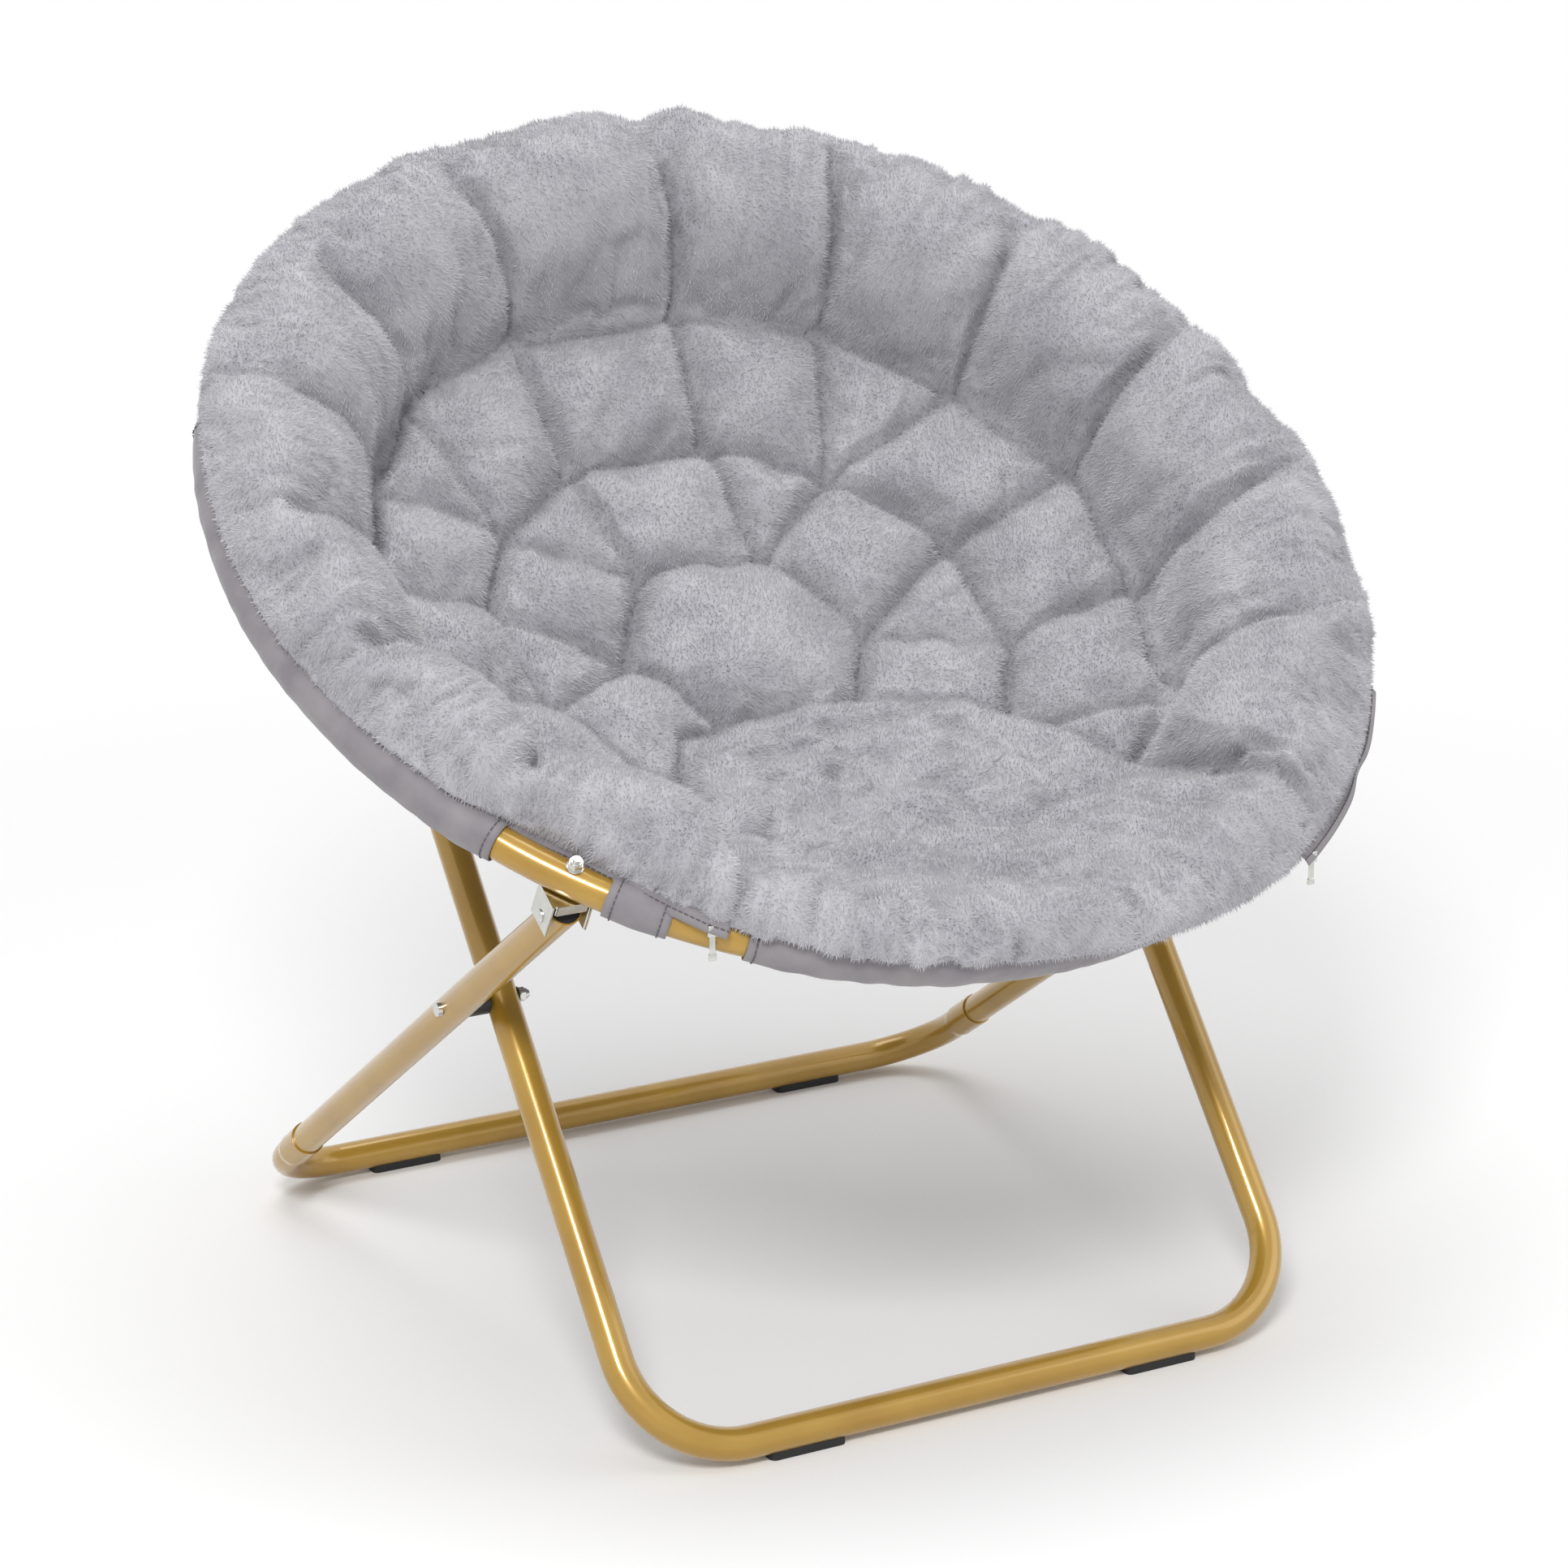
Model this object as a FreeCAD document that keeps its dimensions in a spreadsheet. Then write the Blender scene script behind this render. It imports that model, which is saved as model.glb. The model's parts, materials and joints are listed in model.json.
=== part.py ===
import FreeCAD, Part
import math
import os

import Sketcher
from FreeCAD import Placement, Rotation, Vector

# Folding saucer chair.
# A round seat ring hangs between two crossed U-shaped leg frames. The front
# leg frame rises to the back of the ring and the rear legs rise to its front.
# The ring is cut into a long front part and a short rear part, hinged at the
# sides, so the crossed legs, the ring and the seat fold together as one.
# +X is to the right seen from the front, +Y runs to the back, +Z is up.
# The origin is on the floor, below the middle of the seat ring.

doc = FreeCAD.newDocument("folding_saucer_chair")

# Driving dimensions, in millimetres and degrees.
SIZES = (
    ("tube_od", 25.4),             # steel tube of legs and ring, 1 inch
    ("tube_wall", 1.2),
    ("ring_radius", 445.2),        # centre line of the seat ring
    ("ring_tilt", 30.9),           # the ring rises to the back
    ("ring_centre_y", 0.0),
    ("ring_centre_z", 616.5),
    ("hinge_angle", 117.0),        # ring hinges, counted from the ring's front
    ("hinge_gap", 0.6),            # between the tube ends at a ring hinge
    ("hinge_drop", 8.0),           # hinge pin below the underside of the tube
    ("hinge_eye_gap", 1.0),        # between the hinge's round end and the tube
    ("hinge_shoulder", 3.0),       # from the pin to the start of the saddle
    ("hinge_pin_head", 1.6),
    ("hinge_arm", 22.0),           # hinge plate along the tube, from its pin
    ("hinge_plate", 4.0),          # tongue thickness
    ("hinge_ear", 3.0),            # thickness of each ear beside the tongue
    ("hinge_side_gap", 0.3),
    ("front_bar_reach", 305.4),    # floor bars, from the origin
    ("rear_bar_reach", 335.2),
    ("front_half_width", 281.0),   # front leg centre lines
    ("leg_gap", 12.1),             # air between a front leg and a rear leg
    ("front_bend", 81.0),          # bend radii of the tube centre lines
    ("rear_bend", 63.0),
    ("pad_thickness", 3.5),        # rubber under the floor bars
    ("pad_length", 63.0),
    ("pad_width", 17.0),
    ("pad_height", 8.0),
    ("pad_corner", 5.0),
    ("front_pad_spread", 154.0),
    ("rear_pad_spread", 195.0),
    ("socket_start", 70.0),        # socket on the rear floor bar, along the leg
    ("socket_length", 42.0),
    ("socket_flare", 8.0),
    ("socket_fit", 0.1),
    ("front_pin_depth", 34.0),     # leg pins below the ring plane
    ("rear_pin_depth", 56.0),
    ("leg_end_reach", 9.0),        # leg tube beyond its pin
    ("plug_length", 5.0),
    ("plug_recess", 0.6),
    ("bracket_gap", 28.0),         # between the ears of a leg bracket
    ("bracket_sheet", 2.0),
    ("bracket_length", 26.0),
    ("bracket_foot", 8.0),         # ear below its pin
    ("lip_height", 9.0),
    ("lip_relief", 1.5),
    ("rivet_diameter", 6.0),
    ("rivet_head_diameter", 10.0),
    ("rivet_head_height", 2.2),
    ("pin_clearance", 0.05),       # radial, running fit
    ("bolt_diameter", 6.0),
    ("bolt_clearance", 0.25),      # radial
    ("bolt_head_diameter", 11.0),
    ("bolt_head_height", 2.6),
    ("bolt_tip", 2.0),             # bolt beyond its nut
    ("nut_flats", 10.0),
    ("nut_height", 6.0),
    ("washer_diameter", 13.0),
    ("washer_thickness", 1.2),
    ("cross_head_height", 3.4),
    ("spacer_diameter", 20.0),
    ("open_pivot_gap", 0.3),
    ("sleeve_inner_gap", 0.3),     # sleeve cloth round the ring tube
    ("sleeve_cloth", 2.2),
    ("sleeve_hinge_gap", 35.7),    # bare tube each side of a ring hinge,
    ("sleeve_bracket_gap", 32.6),  # and of a rear bracket, along the ring
    ("side_sleeve_gap", 56.9),     # from a front bracket back to the sleeve
    ("front_sleeve_gap", 129.6),   # from a front bracket forward to the sleeve
    ("strap_gap", 51.9),           # from a front bracket to the strap's middle
    ("strap_width", 46.6),
    ("sling_depth", 205.0),        # bottom of the cloth bowl below the ring
    ("sling_cloth", 1.5),
    ("sling_rim_gap", 17.2),       # cloth rim inside the ring centre line
    ("soft_gap", 0.3),
    ("cushion_depth", 147.0),      # middle of the cushion below the ring
    ("tuft_radius_inner", 108.0),  # circles of sewn tufts
    ("tuft_radius_middle", 208.0),
    ("tuft_radius_outer", 310.0),
    ("tuft_depth_inner", 155.0),
    ("tuft_depth_middle", 129.0),
    ("tuft_depth_outer", 82.0),
    ("crown", 19.0),               # padding above the line between two tufts
    ("rim_roll", 42.0),            # top of the rim roll above the ring plane
    ("rim_shoulder", 44.0),        # foot of the rim roll inside the ring
    ("bare_before", 114.1),        # ring that the cushion leaves bare before
    ("bare_after", 49.1),          # and behind each front bracket
    ("bare_gap", 14.0),            # cushion edge inside the ring centre line
    ("channel_radius", 14.0),      # sewn channels between neighbouring tufts
    ("channel_depth", 9.0),
    ("panel_half_angle", 36.0),    # flatter seat panel at the front
    ("panel_rim", 20.0),
    ("panel_inset", 6.0),          # high line of the panel inside the ring
    ("panel_lip_reach", 30.0),     # lip outside the ring, and how far it falls
    ("panel_lip_fall", 16.0),
    ("panel_start_out", 12.0),     # panel's inner seam, from the inner tufts
    ("panel_start_up", 10.0),
    ("pocket_gap", 1.5),           # cushion round the nuts at the back
)

sheet = doc.addObject("Spreadsheet::Sheet", "size")
for row, (alias, number) in enumerate(SIZES, start=1):
    sheet.set(f"A{row}", alias)
    sheet.set(f"B{row}", str(number))
    sheet.setAlias(f"B{row}", alias)
doc.recompute()

# Places that follow from the driving dimensions, as expressions.
RING_Y = "size.ring_centre_y"
RING_Z = "size.ring_centre_z"
TILT = "size.ring_tilt"
TUBE_R = "(size.tube_od / 2)"
BORE_R = "(size.tube_od / 2 - size.tube_wall)"
BAR_Z = "(size.tube_od / 2 + size.pad_thickness)"
FRONT_X = "size.front_half_width"
REAR_X = "(size.front_half_width + size.tube_od + size.leg_gap)"
FRONT_PIN_S = f"(-sqrt(size.ring_radius ^ 2 - {REAR_X} ^ 2))"
REAR_PIN_S = f"sqrt(size.ring_radius ^ 2 - {FRONT_X} ^ 2)"


def ring_y(along, above):
    return f"({RING_Y} + ({along}) * cos({TILT}) - ({above}) * sin({TILT}))"


def ring_z(along, above):
    return f"({RING_Z} + ({along}) * sin({TILT}) + ({above}) * cos({TILT}))"


def ring_turn(length):
    """Degrees of the ring that a length along it takes up."""
    return f"({length} / size.ring_radius * 180 / pi)"


def number(expression):
    """Value of an expression as a plain number."""
    result = sheet.evalExpression(expression)
    return float(getattr(result, "Value", result))


FRONT_PIN_Y = ring_y(FRONT_PIN_S, "-size.front_pin_depth")
FRONT_PIN_Z = ring_z(FRONT_PIN_S, "-size.front_pin_depth")
REAR_PIN_Y = ring_y(REAR_PIN_S, "-size.rear_pin_depth")
REAR_PIN_Z = ring_z(REAR_PIN_S, "-size.rear_pin_depth")

# Each leg line runs from its floor bar to its pin under the ring.
FRONT_LEG_SLOPE = f"(({REAR_PIN_Y} + size.front_bar_reach) / ({REAR_PIN_Z} - {BAR_Z}))"
REAR_LEG_SLOPE = f"(({FRONT_PIN_Y} - size.rear_bar_reach) / ({FRONT_PIN_Z} - {BAR_Z}))"
FRONT_LEAN = f"atan({FRONT_LEG_SLOPE})"
REAR_LEAN = f"atan({REAR_LEG_SLOPE})"
FRONT_LEG_PIN = f"(({REAR_PIN_Z} - {BAR_Z}) / cos({FRONT_LEAN}))"
REAR_LEG_PIN = f"(({FRONT_PIN_Z} - {BAR_Z}) / cos({REAR_LEAN}))"

# The leg lines cross at the scissor bolts.
CROSS_RISE = (
    "((size.front_bar_reach + size.rear_bar_reach)"
    f" / ({FRONT_LEG_SLOPE} - {REAR_LEG_SLOPE}))"
)
CROSS_Y = f"({FRONT_LEG_SLOPE} * {CROSS_RISE} - size.front_bar_reach)"
CROSS_Z = f"({BAR_Z} + {CROSS_RISE})"
FRONT_LEG_CROSS = f"({CROSS_RISE} / cos({FRONT_LEAN}))"
REAR_LEG_CROSS = f"({CROSS_RISE} / cos({REAR_LEAN}))"

# Degrees from the front of the ring to the leg brackets.
FRONT_BRACKET_TURN = f"(asin({REAR_X} / size.ring_radius) / 1deg)"
REAR_BRACKET_TURN = f"(90 + acos({FRONT_X} / size.ring_radius) / 1deg)"

HINGE_X = "(size.ring_radius * sin(size.hinge_angle))"
HINGE_S = "(-size.ring_radius * cos(size.hinge_angle))"
HINGE_PIN_Z = "(size.tube_od / 2 + size.hinge_drop)"
HINGE_EYE_R = "(size.hinge_drop - size.hinge_eye_gap)"

PIN_HOLE_R = "(size.rivet_diameter / 2 + size.pin_clearance)"
BOLT_HOLE_R = "(size.bolt_diameter / 2 + size.bolt_clearance)"

nodes = []


def keep(item, name):
    """Take an object as a finished piece under the piece's own name."""
    item.Label = name
    nodes.append(item)
    return item


def place(item, x, y, z, angle="0", axis=(1, 0, 0)):
    """Bind an object's place, and its turn about one axis, to expressions."""
    start = number(angle) or 1.0
    item.Placement = Placement(Vector(), Rotation(Vector(*axis), start))
    item.setExpression("Placement.Base.x", x)
    item.setExpression("Placement.Base.y", y)
    item.setExpression("Placement.Base.z", z)
    item.setExpression("Placement.Rotation.Angle", angle)


def place_in_ring(item, x="0", along="0", above="0"):
    """Place an object in the ring's plane: X, towards the back, and up."""
    place(item, x, ring_y(along, above), ring_z(along, above), TILT)


def new_sketch(body, role, name):
    """Empty sketch on one of the body's own origin planes."""
    sketch = body.newObject("Sketcher::SketchObject", name)
    plane = next(f for f in body.Origin.OriginFeatures if f.Role == role)
    sketch.AttachmentSupport = [(plane, "")]
    sketch.MapMode = "FlatFace"
    return sketch


def fix_point(sketch, geometry, vertex, x, y):
    """Hold one sketch point at expressions x and y from the origin."""
    for kind, expression in (("DistanceX", x), ("DistanceY", y)):
        value = number(expression)
        if abs(value) < 1e-9:
            line = -2 if kind == "DistanceX" else -1
            sketch.addConstraint(Sketcher.Constraint("PointOnObject", geometry, vertex, line))
            continue
        rule = sketch.addConstraint(Sketcher.Constraint(kind, -1, 1, geometry, vertex, value))
        sketch.setExpression(f"Constraints[{rule}]", expression)


def add_circle(sketch, x, y, radius):
    centre = Vector(number(x), number(y), 0)
    circle = Part.Circle(centre, Vector(0, 0, 1), number(radius))
    index = sketch.addGeometry(circle, False)
    rule = sketch.addConstraint(Sketcher.Constraint("Radius", index, number(radius)))
    sketch.setExpression(f"Constraints[{rule}]", radius)
    fix_point(sketch, index, 3, x, y)


def add_polygon(sketch, points):
    """Closed outline of straight lines through expression points."""
    spots = [Vector(number(x), number(y), 0) for x, y in points]
    first = sketch.GeometryCount
    count = len(spots)
    for i, spot in enumerate(spots):
        sketch.addGeometry(Part.LineSegment(spot, spots[(i + 1) % count]), False)
    for i, (x, y) in enumerate(points):
        following = first + (i + 1) % count
        sketch.addConstraint(Sketcher.Constraint("Coincident", first + i, 2, following, 1))
        fix_point(sketch, first + i, 1, x, y)


def add_half_u(sketch, half_width, bend, length):
    """Half of a U tube's centre line: half the bar, a bend and one leg."""
    w, r, reach = number(half_width), number(bend), number(length)
    bar = sketch.addGeometry(Part.LineSegment(Vector(0, 0, 0), Vector(w - r, 0, 0)), False)
    corner = Part.ArcOfCircle(
        Part.Circle(Vector(w - r, r, 0), Vector(0, 0, 1), r), 1.5 * math.pi, 2 * math.pi
    )
    arc = sketch.addGeometry(corner, False)
    leg = sketch.addGeometry(Part.LineSegment(Vector(w, r, 0), Vector(w, reach, 0)), False)
    sketch.addConstraint(Sketcher.Constraint("Coincident", bar, 1, -1, 1))
    sketch.addConstraint(Sketcher.Constraint("Coincident", bar, 2, arc, 1))
    sketch.addConstraint(Sketcher.Constraint("Coincident", arc, 2, leg, 1))
    fix_point(sketch, bar, 2, f"{half_width} - {bend}", "0")
    fix_point(sketch, leg, 1, half_width, bend)
    fix_point(sketch, leg, 2, half_width, length)
    rule = sketch.addConstraint(Sketcher.Constraint("Radius", arc, r))
    sketch.setExpression(f"Constraints[{rule}]", bend)


def add_pad(body, sketch, length, name, both_sides=True):
    pad = body.newObject("PartDesign::Pad", name)
    pad.Profile = sketch
    pad.SideType = "Symmetric" if both_sides else "One side"
    pad.setExpression("Length", length)
    return pad


def add_hole(body, role, name, circles):
    """Round holes right through the body, square to one origin plane."""
    sketch = new_sketch(body, role, f"{name}_sketch")
    for x, y, radius in circles:
        add_circle(sketch, x, y, radius)
    pocket = body.newObject("PartDesign::Pocket", name)
    pocket.Profile = sketch
    pocket.Type = "ThroughAll"
    pocket.SideType = "Symmetric"
    doc.recompute()
    if pocket.Shape.Volume >= pocket.BaseFeature.Shape.Volume:
        raise RuntimeError(f"{body.Name}: {name} cuts nothing")
    return pocket


def add_turn(body, sketch, angle, name, midplane=False, axis="V_Axis"):
    turn = body.newObject("PartDesign::Revolution", name)
    turn.Profile = sketch
    turn.ReferenceAxis = (sketch, [axis])
    turn.Midplane = midplane
    turn.setExpression("Angle", angle)
    return turn


def mirror(source, name):
    """The same piece on the other side of the chair."""
    item = doc.addObject("Part::Mirroring", name)
    item.Source = source
    item.Normal = Vector(1, 0, 0)
    return item


def pair(source, name):
    """A right-hand piece and its mirror image in one node."""
    group = doc.addObject("Part::Compound", name)
    group.Links = [source, mirror(source, f"{name}_left_one")]
    return keep(group, name)


def cylinder(name, radius, height):
    item = doc.addObject("Part::Cylinder", name)
    item.setExpression("Radius", radius)
    item.setExpression("Height", height)
    return item


def box(name, length, width, height):
    item = doc.addObject("Part::Box", name)
    item.setExpression("Length", length)
    item.setExpression("Width", width)
    item.setExpression("Height", height)
    return item


def torus(name, radius, tube_radius, sweep="360"):
    item = doc.addObject("Part::Torus", name)
    item.setExpression("Radius1", radius)
    item.setExpression("Radius2", tube_radius)
    item.setExpression("Angle3", sweep)
    return item


def cut(base, tool, name):
    item = doc.addObject("Part::Cut", name)
    item.Base = base
    item.Tool = tool
    return item


def fuse(parts, name):
    item = doc.addObject("Part::MultiFuse", name)
    item.Shapes = parts
    return item


# Front leg frame: one tube bent into a U, with its bar on the floor.
def build_front_leg_frame():
    body = doc.addObject("PartDesign::Body", "front_leg_frame")
    path = new_sketch(body, "XY_Plane", "front_leg_path")
    add_half_u(path, FRONT_X, "size.front_bend", f"{FRONT_LEG_PIN} + size.leg_end_reach")
    section = new_sketch(body, "YZ_Plane", "front_leg_section")
    add_circle(section, "0", "0", TUBE_R)
    add_circle(section, "0", "0", BORE_R)
    half = body.newObject("PartDesign::AdditivePipe", "front_leg_half")
    half.Profile = section
    half.Spine = path
    whole = body.newObject("PartDesign::Mirrored", "front_leg_both")
    whole.Originals = [half]
    whole.MirrorPlane = (
        next(f for f in body.Origin.OriginFeatures if f.Role == "YZ_Plane"), [""])
    body.Tip = whole
    doc.recompute()
    add_hole(body, "YZ_Plane", "front_leg_holes", (
        (FRONT_LEG_PIN, "0", PIN_HOLE_R),
        (FRONT_LEG_CROSS, "0", BOLT_HOLE_R),
    ))
    place(body, "0", "-size.front_bar_reach", BAR_Z, f"90 - {FRONT_LEAN} / 1deg")
    keep(body, "front_leg_frame")


# Rear floor bar: a shallow U whose ends are swaged into sockets for the legs.
def build_rear_floor_bar():
    body = doc.addObject("PartDesign::Body", "rear_floor_bar")
    path = new_sketch(body, "XY_Plane", "rear_bar_path")
    add_half_u(path, REAR_X, "size.rear_bend", "size.socket_start")
    section = new_sketch(body, "YZ_Plane", "rear_bar_section")
    add_circle(section, "0", "0", TUBE_R)
    add_circle(section, "0", "0", BORE_R)
    half = body.newObject("PartDesign::AdditivePipe", "rear_bar_half")
    half.Profile = section
    half.Spine = path
    socket_in = f"({TUBE_R} + size.socket_fit)"
    socket_out = f"({TUBE_R} + size.socket_fit + size.tube_wall)"
    mouth = "(size.socket_start + size.socket_length)"
    shoulder = "(size.socket_start + size.socket_flare)"
    profile = new_sketch(body, "XY_Plane", "socket_profile")
    add_polygon(profile, (
        (f"{REAR_X} + {BORE_R}", "size.socket_start"),
        (f"{REAR_X} + {TUBE_R}", "size.socket_start"),
        (f"{REAR_X} + {socket_out}", shoulder),
        (f"{REAR_X} + {socket_out}", mouth),
        (f"{REAR_X} + {socket_in}", mouth),
        (f"{REAR_X} + {socket_in}", shoulder),
    ))
    start = Vector(number(REAR_X), 0, 0)
    end = Vector(number(REAR_X), number("size.socket_start"), 0)
    axis = profile.addGeometry(Part.LineSegment(start, end), True)
    fix_point(profile, axis, 1, REAR_X, "0")
    fix_point(profile, axis, 2, REAR_X, "size.socket_start")
    socket = add_turn(body, profile, "360", "socket", axis="Axis0")
    doc.recompute()
    whole = body.newObject("PartDesign::Mirrored", "rear_bar_both")
    whole.Originals = [half, socket]
    whole.MirrorPlane = (
        next(f for f in body.Origin.OriginFeatures if f.Role == "YZ_Plane"), [""])
    body.Tip = whole
    place(body, "0", "size.rear_bar_reach", BAR_Z, f"90 - {REAR_LEAN} / 1deg")
    keep(body, "rear_floor_bar")


# Rear legs: straight tubes that plug into the sockets of the rear floor bar.
def build_rear_legs():
    body = doc.addObject("PartDesign::Body", "rear_leg")
    seat = "(size.socket_start + size.socket_flare)"
    length = f"({REAR_LEG_PIN} + size.leg_end_reach - {seat})"
    section = new_sketch(body, "XY_Plane", "rear_leg_section")
    add_circle(section, "0", "0", TUBE_R)
    add_circle(section, "0", "0", BORE_R)
    add_pad(body, section, length, "rear_leg_tube", both_sides=False)
    doc.recompute()
    add_hole(body, "YZ_Plane", "rear_leg_holes", (
        ("0", f"{REAR_LEG_PIN} - {seat}", PIN_HOLE_R),
        ("0", f"{REAR_LEG_CROSS} - {seat}", BOLT_HOLE_R),
    ))
    place(
        body, REAR_X,
        f"size.rear_bar_reach + {seat} * sin({REAR_LEAN})",
        f"{BAR_Z} + {seat} * cos({REAR_LEAN})",
        f"-{REAR_LEAN} / 1deg",
    )
    keep(body, "rear_leg_right")
    keep(mirror(body, "rear_leg_other"), "rear_leg_left")


# Seat ring: a long front arc and a short rear arc, cut at the hinges.
def build_ring_tube(name, radius, sweep, bolt_x, bolt_along):
    body = doc.addObject("PartDesign::Body", name)
    section = new_sketch(body, "YZ_Plane", f"{name}_section")
    add_circle(section, radius, "0", TUBE_R)
    add_circle(section, radius, "0", BORE_R)
    add_turn(body, section, sweep, f"{name}_arc", midplane=True)
    doc.recompute()
    add_hole(body, "XY_Plane", f"{name}_bolt_holes", (
        (bolt_x, bolt_along, BOLT_HOLE_R),
        (f"-{bolt_x}", bolt_along, BOLT_HOLE_R),
    ))
    place_in_ring(body)
    keep(body, name)


def build_ring():
    gap_angle = ring_turn("size.hinge_gap")
    build_ring_tube(
        "ring_front_tube", "-size.ring_radius",
        f"2 * size.hinge_angle - {gap_angle}", REAR_X, FRONT_PIN_S)
    build_ring_tube(
        "ring_rear_tube", "size.ring_radius",
        f"360 - 2 * size.hinge_angle - {gap_angle}", FRONT_X, REAR_PIN_S)


# Leg bracket: a folded steel channel under the ring, its two ears either side
# of a leg's end, its web against the tube and a lip turned down in front.
def build_bracket(end, pin_x, pin_along, pin_depth):
    name = f"{end}_bracket"
    body = doc.addObject("PartDesign::Body", name)
    inner = "(size.bracket_gap / 2)"
    outer = "(size.bracket_gap / 2 + size.bracket_sheet)"
    web_top = f"-{TUBE_R}"
    web_under = f"-({TUBE_R} + size.bracket_sheet)"
    foot = f"-({pin_depth} + size.bracket_foot)"
    channel = new_sketch(body, "XZ_Plane", f"{name}_channel")
    add_polygon(channel, (
        (f"-{outer}", web_top), (outer, web_top), (outer, foot), (inner, foot),
        (inner, web_under), (f"-{inner}", web_under), (f"-{inner}", foot),
        (f"-{outer}", foot),
    ))
    add_pad(body, channel, "size.bracket_length", f"{name}_folded")
    front = "-(size.bracket_length / 2)"
    lip = new_sketch(body, "YZ_Plane", f"{name}_lip_outline")
    add_polygon(lip, (
        (front, web_top),
        (f"{front} + size.bracket_sheet", web_top),
        (f"{front} + size.bracket_sheet", f"-({TUBE_R} + size.lip_height)"),
        (front, f"-({TUBE_R} + size.lip_height)"),
    ))
    add_pad(body, lip, "size.bracket_gap - 2 * size.lip_relief", f"{name}_lip")
    doc.recompute()
    add_hole(body, "YZ_Plane", f"{name}_pin_holes", (("0", f"-{pin_depth}", PIN_HOLE_R),))
    add_hole(body, "XY_Plane", f"{name}_bolt_hole", (
        ("0", "0", BOLT_HOLE_R),
        (f"{inner} - size.lip_relief / 2", front, "size.lip_relief"),
        (f"-({inner} - size.lip_relief / 2)", front, "size.lip_relief"),
    ))
    place_in_ring(body, pin_x, pin_along)
    keep(body, f"{name}_right")
    keep(mirror(body, f"{name}_other"), f"{name}_left")


def build_bar_with_heads(name, half_length, shank_r, head_r, head_height):
    """A pin along X with a flat-domed head on each end."""
    body = doc.addObject("PartDesign::Body", name)
    outline = new_sketch(body, "XY_Plane", f"{name}_outline")
    end = f"({half_length} + {head_height})"
    dome = f"({half_length} + {head_height} / 3)"
    add_polygon(outline, (
        (f"-{end}", "0"), (f"-{end}", f"{head_r} * 0.6"), (f"-{dome}", head_r),
        (f"-{half_length}", head_r), (f"-{half_length}", shank_r),
        (half_length, shank_r), (half_length, head_r), (dome, head_r),
        (end, f"{head_r} * 0.6"), (end, "0"),
    ))
    add_turn(body, outline, "360", f"{name}_turned", axis="H_Axis")
    return body


def build_rivets(end, pin_x, pin_along, pin_depth):
    name = f"{end}_bracket_rivets"
    rivet = build_bar_with_heads(
        f"{end}_rivet", "(size.bracket_gap / 2 + size.bracket_sheet)",
        "size.rivet_diameter / 2", "size.rivet_head_diameter / 2",
        "size.rivet_head_height")
    place_in_ring(rivet, pin_x, pin_along, f"-{pin_depth}")
    pair(rivet, name)


def hex_nut(name):
    """Lock nut on its own +Z axis, its collar on top."""
    collar_height = "(size.nut_height / 3)"
    prism = doc.addObject("Part::Prism", f"{name}_flats")
    prism.Polygon = 6
    prism.setExpression("Circumradius", "size.nut_flats / sqrt(3)")
    prism.setExpression("Height", f"size.nut_height - {collar_height}")
    collar = cylinder(f"{name}_collar", "size.nut_flats * 0.45", collar_height)
    place(collar, "0", "0", f"size.nut_height - {collar_height}")
    bore = cylinder(f"{name}_bore", "size.bolt_diameter / 2", "size.nut_height")
    return cut(fuse([prism, collar], f"{name}_solid"), bore, name)


def flat_washer(name):
    disc = cylinder(f"{name}_disc", "size.washer_diameter / 2", "size.washer_thickness")
    bore = cylinder(f"{name}_bore", BOLT_HOLE_R, "size.washer_thickness")
    return cut(disc, bore, name)


# Bracket bolts run up through the web and the ring tube to a lock nut on top.
def build_bracket_fasteners(end, x, along):
    head_top = f"(-({TUBE_R} + size.bracket_sheet))"
    stack = (
        f"(size.tube_od + size.bracket_sheet + size.washer_thickness"
        " + size.nut_height + size.bolt_tip)"
    )
    head = cylinder(f"{end}_bolt_head", "size.bolt_head_diameter / 2", "size.bolt_head_height")
    place(head, "0", "0", "-size.bolt_head_height")
    shank = cylinder(f"{end}_bolt_shank", "size.bolt_diameter / 2", stack)
    bolt = fuse([head, shank], f"{end}_bolt")
    place_in_ring(bolt, x, along, head_top)
    pair(bolt, f"{end}_bracket_bolts")
    washer = flat_washer(f"{end}_washer")
    place_in_ring(washer, x, along, TUBE_R)
    pair(washer, f"{end}_bracket_washers")
    nut = hex_nut(f"{end}_nut")
    place_in_ring(nut, x, along, f"{TUBE_R} + size.washer_thickness")
    pair(nut, f"{end}_bracket_nuts")


# Ring hinge: a tongue under the front arc and two ears under the rear arc,
# shaped to the round tube above them. The pin lies below the tubes, so the
# tube ends butt together when the seat is open and part as the ring folds up.
def hinge_plate(name, thickness, x_offset, direction):
    """One plate across X with a round end at the pin, saddled to the tube."""
    foot = f"({HINGE_PIN_Z} + {HINGE_EYE_R})"
    arm = box(f"{name}_arm", thickness, "size.hinge_arm - size.hinge_shoulder", foot)
    near = "size.hinge_shoulder" if direction > 0 else "-size.hinge_arm"
    place(arm, f"{x_offset} - {thickness} / 2", near, f"-{foot}")
    eye = cylinder(f"{name}_eye", HINGE_EYE_R, thickness)
    place(eye, f"{x_offset} - {thickness} / 2", "0", f"-{HINGE_PIN_Z}", "90", (0, 1, 0))
    return fuse([arm, eye], f"{name}_blank")


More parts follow.
